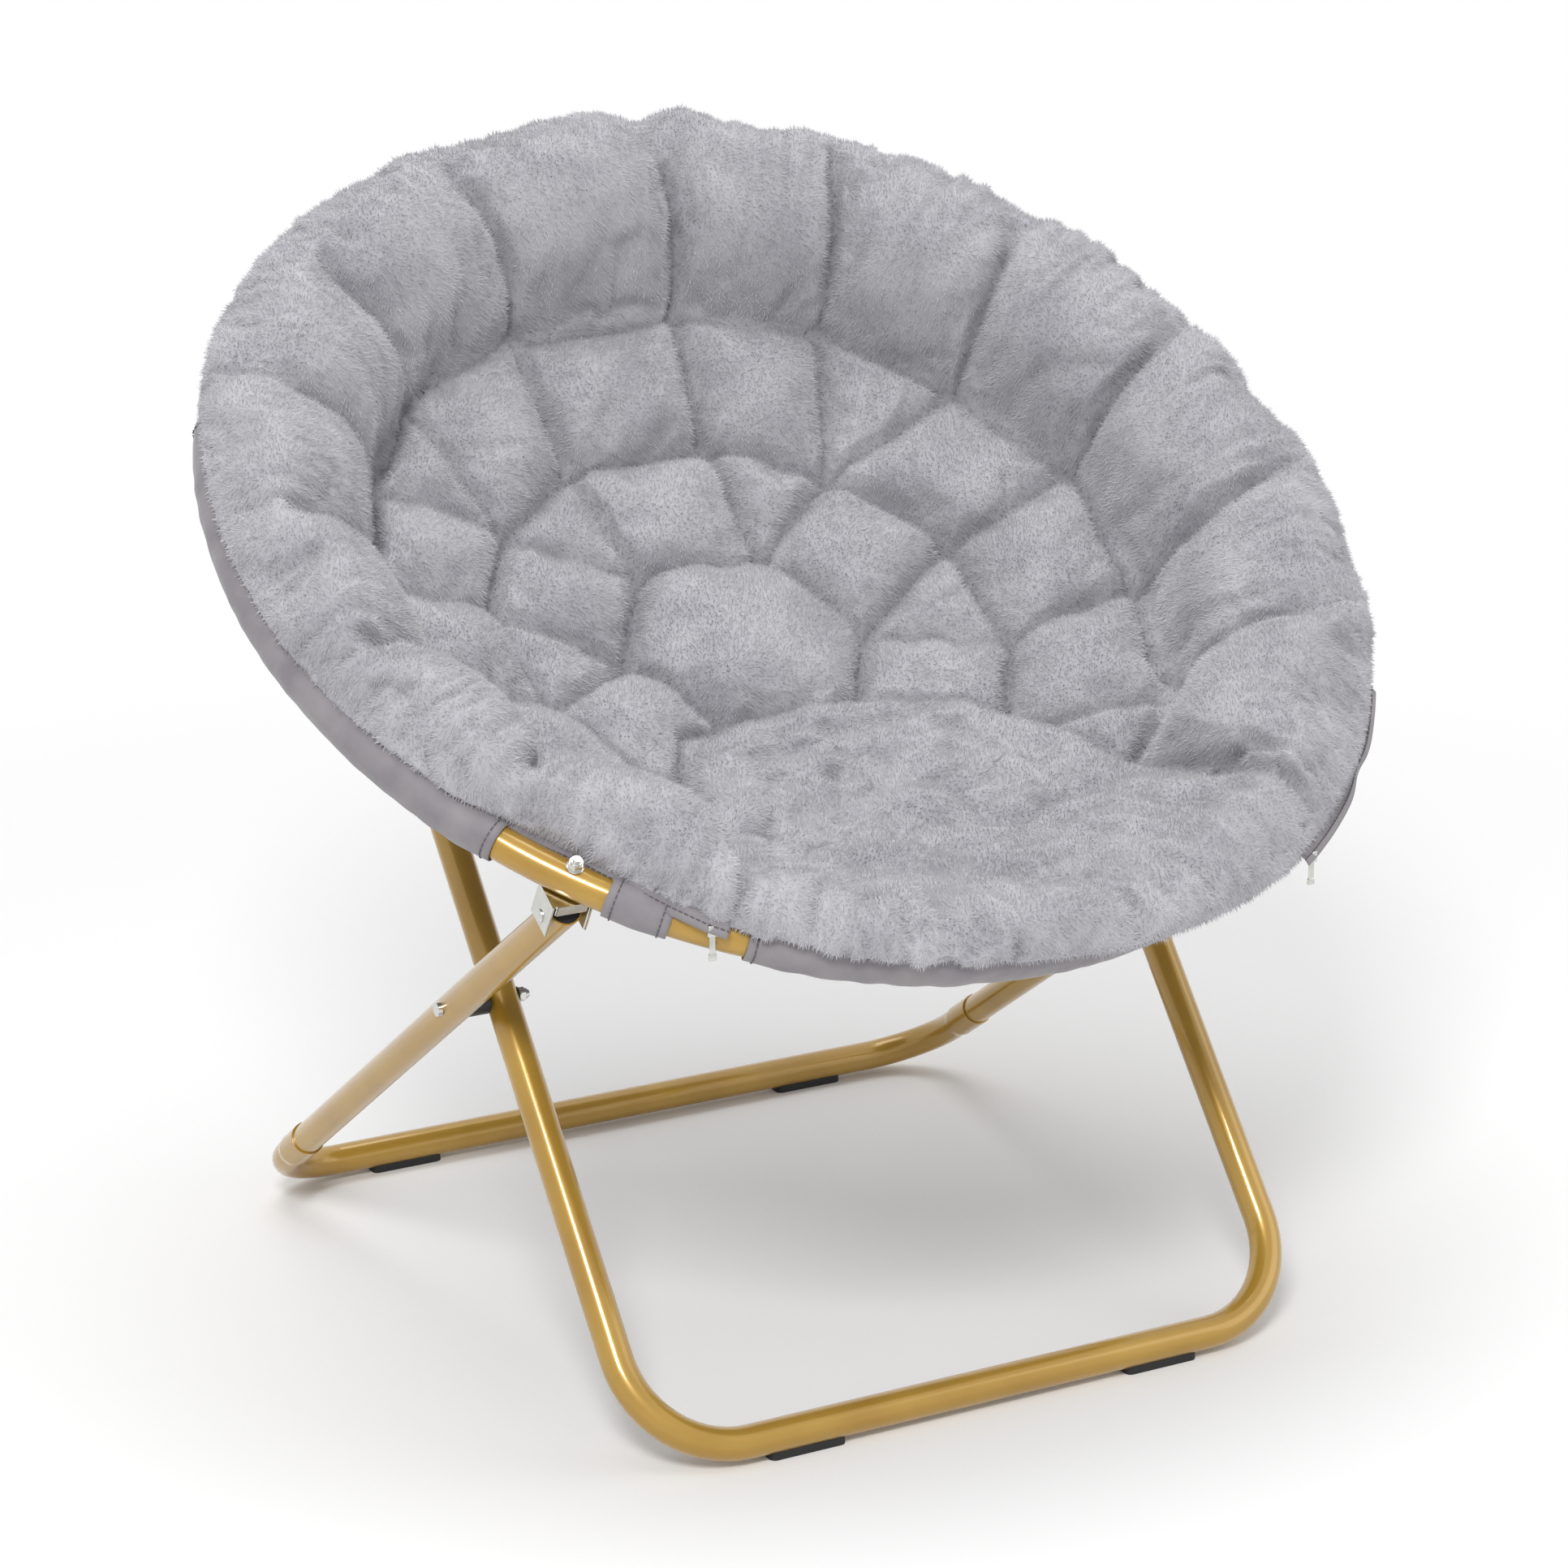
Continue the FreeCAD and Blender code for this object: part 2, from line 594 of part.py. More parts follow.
def finish_hinge_part(blank, name, hole_radius):
    """Cut the tube's round and the pin hole, and set the part in the ring."""
    ring = torus(f"{name}_tube_round", "size.ring_radius", TUBE_R)
    place(ring, f"-{HINGE_X}", f"-({HINGE_S})", "0")
    saddled = cut(blank, ring, f"{name}_saddled")
    hole = cylinder(f"{name}_hole", hole_radius, "2 * size.hinge_arm")
    place(hole, "-size.hinge_arm", "0", f"-{HINGE_PIN_Z}", "90", (0, 1, 0))
    part = cut(saddled, hole, name)
    place_in_ring(part, HINGE_X, HINGE_S)
    keep(part, f"{name}_right")
    keep(mirror(part, f"{name}_other"), f"{name}_left")


def build_ring_hinges():
    tongue = hinge_plate("tongue", "size.hinge_plate", "0", -1)
    finish_hinge_part(tongue, "hinge_tongue", PIN_HOLE_R)
    offset = "(size.hinge_plate / 2 + size.hinge_side_gap + size.hinge_ear / 2)"
    ears = [
        hinge_plate("outer_ear", "size.hinge_ear", offset, 1),
        hinge_plate("inner_ear", "size.hinge_ear", f"-{offset}", 1),
    ]
    finish_hinge_part(fuse(ears, "clevis_blank"), "hinge_clevis", PIN_HOLE_R)
    half = "(size.hinge_plate / 2 + size.hinge_side_gap + size.hinge_ear)"
    pin = build_bar_with_heads(
        "hinge_pin", half, "size.rivet_diameter / 2", "size.rivet_diameter * 0.75",
        "size.hinge_pin_head")
    place_in_ring(pin, HINGE_X, HINGE_S, f"-{HINGE_PIN_Z}")
    pair(pin, "hinge_pins")


# Scissor pivot: the bolt's head and shank, and the spacer between the tubes,
# stay with the rear legs. The threaded end, washer and nut stay with the
# front legs.
def build_scissor_pivots():
    outer_face = f"({REAR_X} + {TUBE_R})"
    front_face = f"({FRONT_X} + {TUBE_R})"
    inner_face = f"({FRONT_X} - {TUBE_R})"
    spacer_end = f"({front_face} + size.open_pivot_gap)"
    across = (0, 1, 0)
    shank = cylinder("cross_shank", "size.bolt_diameter / 2", f"{outer_face} - {spacer_end}")
    place(shank, spacer_end, CROSS_Y, CROSS_Z, "90", across)
    head = cylinder("cross_head", "size.bolt_head_diameter / 2", "size.cross_head_height")
    place(head, outer_face, CROSS_Y, CROSS_Z, "90", across)
    pair(fuse([shank, head], "cross_bolt"), "cross_bolts")

    blank = cylinder("spacer_blank", "size.spacer_diameter / 2", f"{REAR_X} - {spacer_end}")
    place(blank, spacer_end, CROSS_Y, CROSS_Z, "90", across)
    leg = cylinder("spacer_leg_round", TUBE_R, "4 * size.spacer_diameter")
    reach = "(2 * size.spacer_diameter)"
    place(
        leg, REAR_X,
        f"{CROSS_Y} - {reach} * sin({REAR_LEAN})",
        f"{CROSS_Z} - {reach} * cos({REAR_LEAN})",
        f"-{REAR_LEAN} / 1deg",
    )
    bore = cylinder("spacer_bore", BOLT_HOLE_R, f"{REAR_X} - {spacer_end}")
    place(bore, spacer_end, CROSS_Y, CROSS_Z, "90", across)
    pair(cut(cut(blank, leg, "spacer_saddled"), bore, "cross_spacer"), "cross_spacers")

    washer = flat_washer("cross_washer")
    place(washer, f"{inner_face} - size.washer_thickness", CROSS_Y, CROSS_Z, "90", across)
    pair(washer, "cross_washers")
    nut = hex_nut("cross_nut")
    place(nut, f"{inner_face} - size.washer_thickness", CROSS_Y, CROSS_Z, "-90", across)
    pair(nut, "cross_nuts")
    stack = "(size.washer_thickness + size.nut_height + size.bolt_tip)"
    tip = cylinder("cross_tip", "size.bolt_diameter / 2", f"size.tube_od + {stack}")
    place(tip, f"{inner_face} - {stack}", CROSS_Y, CROSS_Z, "90", across)
    pair(tip, "cross_bolt_ends")


# Black plugs close the open upper ends of the leg tubes.
def build_leg_plug(name, x, bar_y, lean, pin_at):
    start = f"({pin_at} + size.leg_end_reach - size.plug_length - size.plug_recess)"
    plug = cylinder(f"{name}_disc", BORE_R, "size.plug_length")
    place(
        plug, x, f"{bar_y} + {start} * sin({lean})", f"{BAR_Z} + {start} * cos({lean})",
        f"-{lean} / 1deg",
    )
    pair(plug, name)


# Rubber pads under the floor bars, hollowed to the tube above them.
def build_foot_pads(name, bar_y, spread):
    block = box(f"{name}_block", "size.pad_length", "size.pad_width", "size.pad_height")
    place(block, f"{spread} - size.pad_length / 2", f"{bar_y} - size.pad_width / 2", "0")
    doc.recompute()
    rounded = doc.addObject("Part::Fillet", f"{name}_rounded")
    rounded.Base = block
    corner = number("size.pad_corner")
    upright = [
        i for i, edge in enumerate(block.Shape.Edges, start=1)
        if abs(edge.tangentAt(edge.FirstParameter).z) > 0.9
    ]
    rounded.Edges = [(i, corner, corner) for i in upright]
    bar = cylinder(f"{name}_bar_round", TUBE_R, "2 * size.pad_length")
    place(bar, f"{spread} - size.pad_length", bar_y, BAR_Z, "90", (0, 1, 0))
    pair(cut(rounded, bar, f"{name}_pad"), name)


# Cloth sleeves hold the seat on the ring. They leave the tube bare at the leg
# brackets and the hinges.
def sleeve(name, start, end):
    """Cloth tube on the ring between two angles from the ring's front."""
    inner = f"({TUBE_R} + size.sleeve_inner_gap)"
    outer = f"({inner} + size.sleeve_cloth)"
    sweep = f"({end}) - ({start})"
    skin = torus(f"{name}_skin", "size.ring_radius", outer, sweep)
    hollow = torus(f"{name}_hollow", "size.ring_radius", inner, sweep)
    for ring in (skin, hollow):
        place(ring, "0", "0", "0", f"({start}) - 90", (0, 0, 1))
    item = cut(skin, hollow, name)
    place_in_ring(item)
    return item


def build_sleeves():
    front = FRONT_BRACKET_TURN
    rear = REAR_BRACKET_TURN
    hinge_gap = ring_turn("size.sleeve_hinge_gap")
    bracket_gap = ring_turn("size.sleeve_bracket_gap")
    side = sleeve(
        "side_sleeve", f"{front} + {ring_turn('size.side_sleeve_gap')}",
        f"size.hinge_angle - {hinge_gap}")
    keep(side, "side_sleeve_right")
    keep(mirror(side, "side_sleeve_other"), "side_sleeve_left")
    front_end = f"({front} - {ring_turn('size.front_sleeve_gap')})"
    keep(sleeve("front_sleeve", f"-{front_end}", front_end), "front_sleeve")
    half_strap = ring_turn("size.strap_width / 2")
    strap_at = f"{front} - {ring_turn('size.strap_gap')}"
    pair(
        sleeve("strap_loop", f"{strap_at} - {half_strap}", f"{strap_at} + {half_strap}"),
        "strap_loops")
    corner = sleeve(
        "rear_corner_sleeve", f"size.hinge_angle + {hinge_gap}", f"{rear} - {bracket_gap}")
    pair(corner, "rear_corner_sleeves")
    behind = f"({rear} + {bracket_gap})"
    keep(sleeve("rear_sleeve", behind, f"360 - {behind}"), "rear_sleeve")


# Seat cloth and cushion are turned about the ring's own axis. Their outlines
# are arcs in the plane of radius and height above the ring plane.
size = {alias: value for alias, value in SIZES}


def arc(*points):
    """Edge through three (radius, height) points."""
    spots = [Vector(r, 0, w) for r, w in points]
    return Part.Arc(*spots).toShape()


def line(start, end):
    return Part.LineSegment(Vector(start[0], 0, start[1]), Vector(end[0], 0, end[1])).toShape()


def turned(edges, sweep=360.0, start=-180.0):
    """Solid of revolution about the ring's axis, from an angle off the front."""
    face = Part.Face(Part.Wire(edges))
    face.rotate(Vector(), Vector(0, 0, 1), start - 90)
    return face.revolve(Vector(), Vector(0, 0, 1), sweep)


def bowl_arc(offset):
    """Radius and height of the sling's spherical bowl, moved in by offset."""
    rim = size["ring_radius"] - size["sling_rim_gap"]
    drop = size["sling_depth"] - SLING_RIM_DROP
    radius = (rim ** 2 + drop ** 2) / (2 * drop)
    return radius - offset, radius - size["sling_depth"]


def bowl_point(offset, height):
    radius, centre = bowl_arc(offset)
    return math.sqrt(radius ** 2 - (centre - height) ** 2), height


def bowl_edge(offset, height):
    """Arc of the bowl from its rim at a height down to the middle."""
    radius, centre = bowl_arc(offset)
    rim = bowl_point(offset, height)
    half = math.asin(rim[0] / radius) / 2
    middle = (radius * math.sin(half), centre - radius * math.cos(half))
    return arc(rim, middle, (0, centre - radius))


SLING_RIM_DROP = 2.0


def build_sling():
    cloth = size["sling_cloth"]
    outer_rim = bowl_point(0, -SLING_RIM_DROP)
    inner_rim = bowl_point(cloth, -SLING_RIM_DROP)
    radius, centre = bowl_arc(0)
    bottom = centre - radius
    shape = turned([
        bowl_edge(0, -SLING_RIM_DROP),
        line((0, bottom), (0, bottom + cloth)),
        bowl_edge(cloth, -SLING_RIM_DROP),
        line(inner_rim, outer_rim),
    ])
    item = doc.addObject("Part::Feature", "seat_sling")
    item.Shape = shape
    place_in_ring(item)
    keep(item, "seat_sling")


def crown_arcs():
    """Top of the cushion from the rim roll down to the middle tuft circle."""
    crown = size["crown"]
    outer = (size["tuft_radius_outer"], -size["tuft_depth_outer"])
    middle = (size["tuft_radius_middle"], -size["tuft_depth_middle"])
    inner = (size["tuft_radius_inner"], -size["tuft_depth_inner"])
    ring = size["ring_radius"]
    roll = size["rim_roll"]
    shoulder = (ring - size["rim_shoulder"], roll * 0.45)
    bands = [(shoulder, outer), (outer, middle), (middle, inner)]
    arcs = []
    for high, low in bands:
        run = (high[0] - low[0], high[1] - low[1])
        length = math.hypot(*run)
        lift = crown * (0.75 if high is shoulder else 1.0)
        top = (
            (high[0] + low[0]) / 2 - run[1] / length * lift,
            (high[1] + low[1]) / 2 + run[0] / length * lift,
        )
        arcs.append((high, top, low))
    return shoulder, arcs


def build_cushion():
    ring = size["ring_radius"]
    gap = size["soft_gap"]
    sleeve_r = size["tube_od"] / 2 + size["sleeve_inner_gap"] + size["sleeve_cloth"]
    wrap = sleeve_r + gap
    roll = size["rim_roll"]
    floor_offset = size["sling_cloth"] + gap
    rim_height = -SLING_RIM_DROP + gap
    rim = bowl_point(floor_offset, rim_height)
    seat = (ring - math.sqrt(wrap ** 2 - rim_height ** 2), rim_height)
    over = math.radians(20)
    edge = (ring + wrap * math.cos(over), wrap * math.sin(over))
    shoulder, arcs = crown_arcs()
    top_outer = (ring + 2, roll * 0.87)
    inner = (size["tuft_radius_inner"], -size["tuft_depth_inner"])
    middle = (0, -size["cushion_depth"])
    crest_radius = (inner[0] ** 2 + (middle[1] - inner[1]) ** 2) / (2 * (middle[1] - inner[1]))
    half = inner[0] / 2
    between = (half, middle[1] - crest_radius + math.sqrt(crest_radius ** 2 - half ** 2))
    radius, centre = bowl_arc(floor_offset)
    body = turned(
        [
            bowl_edge(floor_offset, rim_height),
            line(rim, seat),
            arc(seat, (ring, wrap), edge),
            arc(edge, (edge[0] + 1, (edge[1] + top_outer[1]) / 2), top_outer),
            arc(top_outer, (ring - 20, roll), shoulder),
        ]
        + [arc(*points) for points in arcs]
        + [arc(inner, between, middle), line(middle, (0, centre - radius))]
    )
    tools = [front_panel_trim(edge)]
    tools += sewn_channels(arcs)
    tools += bare_tube_gaps()
    tools += nut_pockets()
    item = doc.addObject("Part::Feature", "cushion")
    item.Shape = max(body.cut(tools).Solids, key=lambda solid: solid.Volume)
    place_in_ring(item)
    keep(item, "cushion")


def front_panel_trim(edge):
    """Space above the flatter seat panel between the front seams."""
    ring = size["ring_radius"]
    rim = size["panel_rim"]
    half = size["panel_half_angle"]
    inner = (
        size["tuft_radius_inner"] + size["panel_start_out"],
        size["panel_start_up"] - size["tuft_depth_inner"],
    )
    front = (ring - size["panel_inset"], rim)
    lip = (ring + size["panel_lip_reach"], rim - size["panel_lip_fall"])
    ceiling = 2 * size["rim_roll"]
    return turned([
        arc(inner, (ring * 0.66, -size["tuft_depth_outer"] - 4), front),
        line(front, lip),
        line(lip, (lip[0], ceiling)),
        line((lip[0], ceiling), (inner[0], ceiling)),
        line((inner[0], ceiling), inner),
    ], 2 * half, -half)


def sewn_channels(arcs):
    """Channels over the crowns, sewn in from each tuft circle to the next."""
    radius = size["channel_radius"]
    lift = size["crown"] + radius - size["channel_depth"]
    tools = []
    for (high, _, low), count in zip(arcs, (16, 11, 6)):
        run = Vector(high[0] - low[0], 0, high[1] - low[1])
        up = Vector(-run.z, 0, run.x).normalize()
        start = Vector(low[0], 0, low[1]) + up * lift
        channel = Part.makeCylinder(radius, run.Length, start, run)
        for k in range(count):
            angle = (k + 0.5) * 360 / count
            if min(angle, 360 - angle) > size["panel_half_angle"]:
                tools.append(channel.rotated(Vector(), Vector(0, 0, 1), angle - 90))
    return tools


def bare_tube_gaps():
    """Space over the ring where the cushion keeps clear of the front brackets."""
    ring = size["ring_radius"]
    low = -size["tube_od"]
    high = 2 * size["rim_roll"]
    inner = ring - size["bare_gap"]
    outer = ring + size["tube_od"]
    bracket = number(FRONT_BRACKET_TURN)
    start = bracket - number(ring_turn("size.bare_before"))
    end = bracket + number(ring_turn("size.bare_after"))
    return [
        turned([
            line((inner, low), (outer, low)),
            line((outer, low), (outer, high)),
            line((outer, high), (inner, high)),
            line((inner, high), (inner, low)),
        ], end - start, first)
        for first in (start, -end)
    ]


def nut_pockets():
    """Room in the cushion's edge for the nuts on the back of the ring."""
    x = size["front_half_width"]
    along = math.sqrt(size["ring_radius"] ** 2 - x ** 2)
    stack = (
        size["tube_od"] / 2 + size["washer_thickness"] + size["nut_height"]
        + size["bolt_tip"] + size["pocket_gap"]
    )
    radius = size["washer_diameter"] / 2 + size["pocket_gap"]
    return [
        Part.makeCylinder(radius, stack, Vector(side * x, along, 0)) for side in (-1, 1)
    ]


def check_and_export():
    doc.recompute()
    for item in doc.Objects:
        if "Invalid" in item.State or "Error" in item.State:
            raise RuntimeError(f"{item.Label}: {item.State}")
    for item in nodes:
        if item.Shape.isNull() or not item.Shape.isValid() or not item.Shape.Solids:
            raise RuntimeError(f"{item.Label} has no valid solid")
    os.makedirs("parts", exist_ok=True)
    for item in nodes:
        item.Shape.exportStep(f"parts/{item.Label}.step")
        print(f"{item.Label}: {len(item.Shape.Solids)} solids, {item.Shape.Volume:.0f} mm3")


build_front_leg_frame()
build_rear_floor_bar()
build_rear_legs()
build_ring()
for end, x, along, depth in (
    ("front", REAR_X, FRONT_PIN_S, "size.front_pin_depth"),
    ("rear", FRONT_X, REAR_PIN_S, "size.rear_pin_depth"),
):
    build_bracket(end, x, along, depth)
    build_rivets(end, x, along, depth)
    build_bracket_fasteners(end, x, along)
build_ring_hinges()
build_scissor_pivots()
build_leg_plug(
    "front_leg_plugs", FRONT_X, "(-size.front_bar_reach)", FRONT_LEAN, FRONT_LEG_PIN)
build_leg_plug("rear_leg_plugs", REAR_X, "size.rear_bar_reach", REAR_LEAN, REAR_LEG_PIN)
build_foot_pads("front_foot_pads", "(-size.front_bar_reach)", "size.front_pad_spread")
build_foot_pads("rear_foot_pads", "size.rear_bar_reach", "size.rear_pad_spread")
build_sleeves()
build_sling()
build_cushion()
check_and_export()
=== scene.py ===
import json
import math

import bmesh
import bpy
import numpy as np
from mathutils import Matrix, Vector, noise


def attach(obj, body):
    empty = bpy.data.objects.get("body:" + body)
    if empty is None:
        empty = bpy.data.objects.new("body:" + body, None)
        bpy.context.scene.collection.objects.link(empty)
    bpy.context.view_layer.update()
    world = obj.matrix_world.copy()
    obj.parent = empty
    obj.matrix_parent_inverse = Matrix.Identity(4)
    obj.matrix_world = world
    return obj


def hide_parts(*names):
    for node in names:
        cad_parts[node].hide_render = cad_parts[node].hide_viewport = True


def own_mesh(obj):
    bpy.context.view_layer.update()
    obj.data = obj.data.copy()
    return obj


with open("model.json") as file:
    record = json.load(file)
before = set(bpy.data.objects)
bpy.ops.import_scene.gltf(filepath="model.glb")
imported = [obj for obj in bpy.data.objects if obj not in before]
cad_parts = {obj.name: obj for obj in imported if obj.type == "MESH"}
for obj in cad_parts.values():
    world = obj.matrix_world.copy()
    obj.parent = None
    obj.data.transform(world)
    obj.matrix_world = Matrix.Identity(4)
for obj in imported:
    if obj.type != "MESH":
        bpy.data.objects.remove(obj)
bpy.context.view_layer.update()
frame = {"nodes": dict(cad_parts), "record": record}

MM = 0.001

# Seat ring, as in the CAD model, in metres. Ring places are given as x, s and
# w: to the right, up the slope to the back, and square out of the ring's plane.
RING_RADIUS = 0.4452
RING_TILT = math.radians(30.9)
RING_CENTRE = Vector((0, 0, 0.6165))
ALONG = Vector((0, math.cos(RING_TILT), math.sin(RING_TILT)))
ABOVE = Vector((0, -math.sin(RING_TILT), math.cos(RING_TILT)))
TUBE_RADIUS = 0.0127
HINGE_ANGLE = 117.0
HINGE_S = -RING_RADIUS * math.cos(math.radians(HINGE_ANGLE))
REAR_BRACKET_X = 0.281
REAR_BRACKET_ANGLE = 90 + math.degrees(math.acos(REAR_BRACKET_X / RING_RADIUS))
# Degrees of ring on each side that a hinge and a rear bracket keep bare.
HINGE_BARE = 4.6
BRACKET_BARE = 4.2

# Cushion, in metres: sewn circles, the rim roll and the flat front panel.
# Tufts stand by degrees from the front on circles that get deeper inwards.
TUFT_CIRCLES = (
    (0.320, -0.082, (11, 34, 57, 80, 104, 126, 148, 170, 197, 221, 241, 261, 281, 303, 326, 349)),
    (0.212, -0.129, (15, 45, 75, 106, 138, 168, 203, 231, 256, 285, 315, 345)),
    (0.107, -0.155, (30, 90, 148, 212, 270, 330)),
)
PANEL_OUTLINE = (
    (-0.216, -0.360), (-0.160, -0.215), (-0.106, -0.098), (-0.060, -0.080), (0.010, -0.076),
    (0.075, -0.084), (0.135, -0.109), (0.190, -0.190), (0.240, -0.360),
)
SEAM_HOLD = 0.97
SPOKE_HOLD = 0.93
CENTRE_HEIGHT = -0.150
BOWL_DEPTH = 0.165
PUFF = 0.030
PUFF_REACH = 0.045
TUFT_DIMPLE = 0.012
RIM_CREST = 0.041
CREST_RADIUS = 0.422
RIM_FOLD = 0.020
ROLL_POWER = 1.9
RIM_CREASE_LENGTH = 0.085
RIM_CREASE_REACH = 0.055
PANEL_PAD = 0.026
PANEL_PAD_REACH = 0.034
PANEL_SEAM = 0.012
# Points of the cushion's mesh: round it, over the top, down the edge, below.
TURNS = 400
TOP_RINGS = 84
SKIRT = 14
UNDER_RINGS = 30
VOXEL = 0.006
SWELL_FRAMES = 12
SWELL_LIMIT = 0.013
CREASE_DEPTH = 0.011
CREASE_WIDTH = 0.0045
FOLD_DEPTH = 0.0050
SWELL_DEPTH = 0.0035
WRINKLE_DEPTH = 0.0075
# The cushion's edge round the ring, as degrees from the front (right of it is
# positive), radius, height and how far its skirt turns down. On the left it
# ends on top of the tube and is drawn in at the bare tube beside the front
# bracket. On the right it hangs over the bare tube and hides it.
EDGE_ROWS = (
    (-180, 0.461, 0.006, 118), (-135, 0.461, 0.006, 118), (-105, 0.456, 0.012, 92),
    (-75, 0.452, 0.014, 90), (-58, 0.445, 0.013, 90), (-50, 0.429, 0.006, 92),
    (-40, 0.438, 0.014, 92), (-33, 0.452, 0.017, 92), (-27, 0.459, 0.019, 92),
    (-20, 0.465, 0.020, 92), (-8, 0.466, 0.017, 92), (0, 0.467, 0.010, 92),
    (10, 0.469, 0.008, 100), (22, 0.470, 0.003, 108), (33, 0.470, -0.002, 112),
    (48, 0.468, -0.004, 112), (62, 0.462, 0.002, 106), (78, 0.456, 0.010, 96),
    (105, 0.456, 0.012, 92), (135, 0.461, 0.006, 118), (180, 0.461, 0.006, 118),
)
EDGE_DEGREES, EDGE_RADIUS, EDGE_HEIGHT, EDGE_TURN = zip(*EDGE_ROWS)
SLING_RIM = 0.428
SLING_DEPTH = 0.205
SLING_RIM_DROP = 0.002

# Fur strands in metres, and their number on a square metre.
PILE_LENGTH = 0.0038
PILE_WIDTH = 0.0004
PILE_DENSITY = 205000.0
PILE_SPLIT_X = 0.13

# Cloth and its sewing, in metres.
SLEEVE_CLOTH = 0.0009
BOWL_CLOTH = 0.001
CUT_ALLOWANCE = 1.1
STITCH_PITCH = 0.0045
STITCH_LENGTH = 0.0032
THREAD_RADIUS = 0.0005
HEM_CLEARANCE = 0.0030
# Zip slider, tape end and pull: width, depth and height, and the drop of each.
ZIP_PARTS = (
    ((0.0075, 0.0042, 0.0085), 0.004),
    ((0.0046, 0.0014, 0.0150), 0.0155),
    ((0.0058, 0.0020, 0.0050), 0.0235),
)


def to_world(x, s, w):
    """World places, one row each, of ring places."""
    x, s, w = np.broadcast_arrays(x, s, w)
    return (
        np.array(RING_CENTRE)
        + x[..., None] * np.array((1.0, 0, 0))
        + s[..., None] * np.array(ALONG)
        + w[..., None] * np.array(ABOVE)
    )


# ---- meshes -------------------------------------------------------------


def put_in_scene(name, mesh):
    item = bpy.data.objects.new(name, mesh)
    bpy.context.scene.collection.objects.link(item)
    return item


def mesh_object(name, points, faces, uv=None, smooth=True):
    mesh = bpy.data.meshes.new(name)
    mesh.from_pydata([tuple(p) for p in points], [], [tuple(f) for f in faces])
    if uv is not None:
        layer = mesh.uv_layers.new(name="UVMap")
        for loop in mesh.loops:
            layer.data[loop.index].uv = uv[loop.vertex_index]
    mesh.update()
    if smooth:
        mesh.shade_smooth()
    return put_in_scene(name, mesh)


def grid_faces(rows, columns, wrap=False):
    """Quads of a grid of points, rows by columns, joined round if it wraps."""
    last = columns if wrap else columns - 1
    return [
        (
            i * columns + j,
            i * columns + (j + 1) % columns,
            (i + 1) * columns + (j + 1) % columns,
            (i + 1) * columns + j,
        )
        for i in range(rows - 1)
        for j in range(last)
    ]


def apply_modifiers(item):
    """Turns an object with its modifiers into a plain mesh."""
    bpy.context.view_layer.update()
    evaluated = item.evaluated_get(bpy.context.evaluated_depsgraph_get())
    mesh = bpy.data.meshes.new_from_object(evaluated)
    item.modifiers.clear()
    item.data = mesh
    return item


def clean_normals(item):
    """Joins double points and turns all faces outwards."""
    bm = bmesh.new()
    bm.from_mesh(item.data)
    bmesh.ops.remove_doubles(bm, verts=bm.verts, dist=1e-6)
    bmesh.ops.recalc_face_normals(bm, faces=bm.faces)
    bm.to_mesh(item.data)
    bm.free()
    return item


# ---- materials ----------------------------------------------------------


def colour(code):
    """Linear colour from an sRGB hex value."""
    parts = [int(code[i:i + 2], 16) / 255 for i in (0, 2, 4)]
    return tuple(
        p / 12.92 if p <= 0.04045 else ((p + 0.055) / 1.055) ** 2.4 for p in parts
    ) + (1.0,)


def add(tree, kind, inputs=None, **settings):
    """Adds a node with its settings, and fills or links its inputs."""
    item = tree.nodes.new(kind)
    for key, value in settings.items():
        setattr(item, key, value)
    for key, value in (inputs or {}).items():
        if isinstance(value, bpy.types.NodeSocket):
            tree.links.new(value, item.inputs[key])
        else:
            item.inputs[key].default_value = value
    return item


def new_material(name):
    material = bpy.data.materials.new(name)
    material.use_nodes = True
    tree = material.node_tree
    tree.nodes.clear()
    shader = add(tree, "ShaderNodeBsdfPrincipled")
    add(tree, "ShaderNodeOutputMaterial", {"Surface": shader.outputs[0]})
    return material, tree, shader


def grain(tree, place, size, detail):
    """Noise with patches of a size in millimetres."""
    return add(
        tree, "ShaderNodeTexNoise", {"Vector": place, "Scale": 1 / (size * MM), "Detail": detail}
    )


def tone_ramp(tree, value, dark, light, start=0.0, end=1.0):
    """Colour between two hex values as a value goes from start to end."""
    ramp = add(tree, "ShaderNodeValToRGB", {"Fac": value})
    low, high = ramp.color_ramp.elements
    low.color, low.position = colour(dark), start
    high.color, high.position = colour(light), end
    return ramp.outputs["Color"]


def relief(tree, shader, height, strength, depth):
    """Bump of a depth in millimetres on the shader's surface."""
    bump = add(
        tree, "ShaderNodeBump", {"Height": height, "Strength": strength, "Distance": depth * MM}
    )
    tree.links.new(bump.outputs["Normal"], shader.inputs["Normal"])


def gold_powder_coat():
    # Gloss powder coat on steel tube: an even gold that drifts a little in
    # tone, with a fine orange-peel surface.
    material, tree, shader = new_material("gold_powder_coat")
    place = add(tree, "ShaderNodeTexCoord").outputs["Object"]
    peel = grain(tree, place, 1.6, 2.0)
    tone = grain(tree, place, 60, 3.0)
    tint = tone_ramp(tree, tone.outputs["Fac"], "A57E26", "B18B30", 0.3, 0.7)
    relief(tree, shader, peel.outputs["Fac"], 0.05, 0.3)
    tree.links.new(tint, shader.inputs["Base Color"])
    shader.inputs["Metallic"].default_value = 0.25
    shader.inputs["Roughness"].default_value = 0.3
    shader.inputs["Coat Weight"].default_value = 0.8
    shader.inputs["Coat Roughness"].default_value = 0.06
    return material


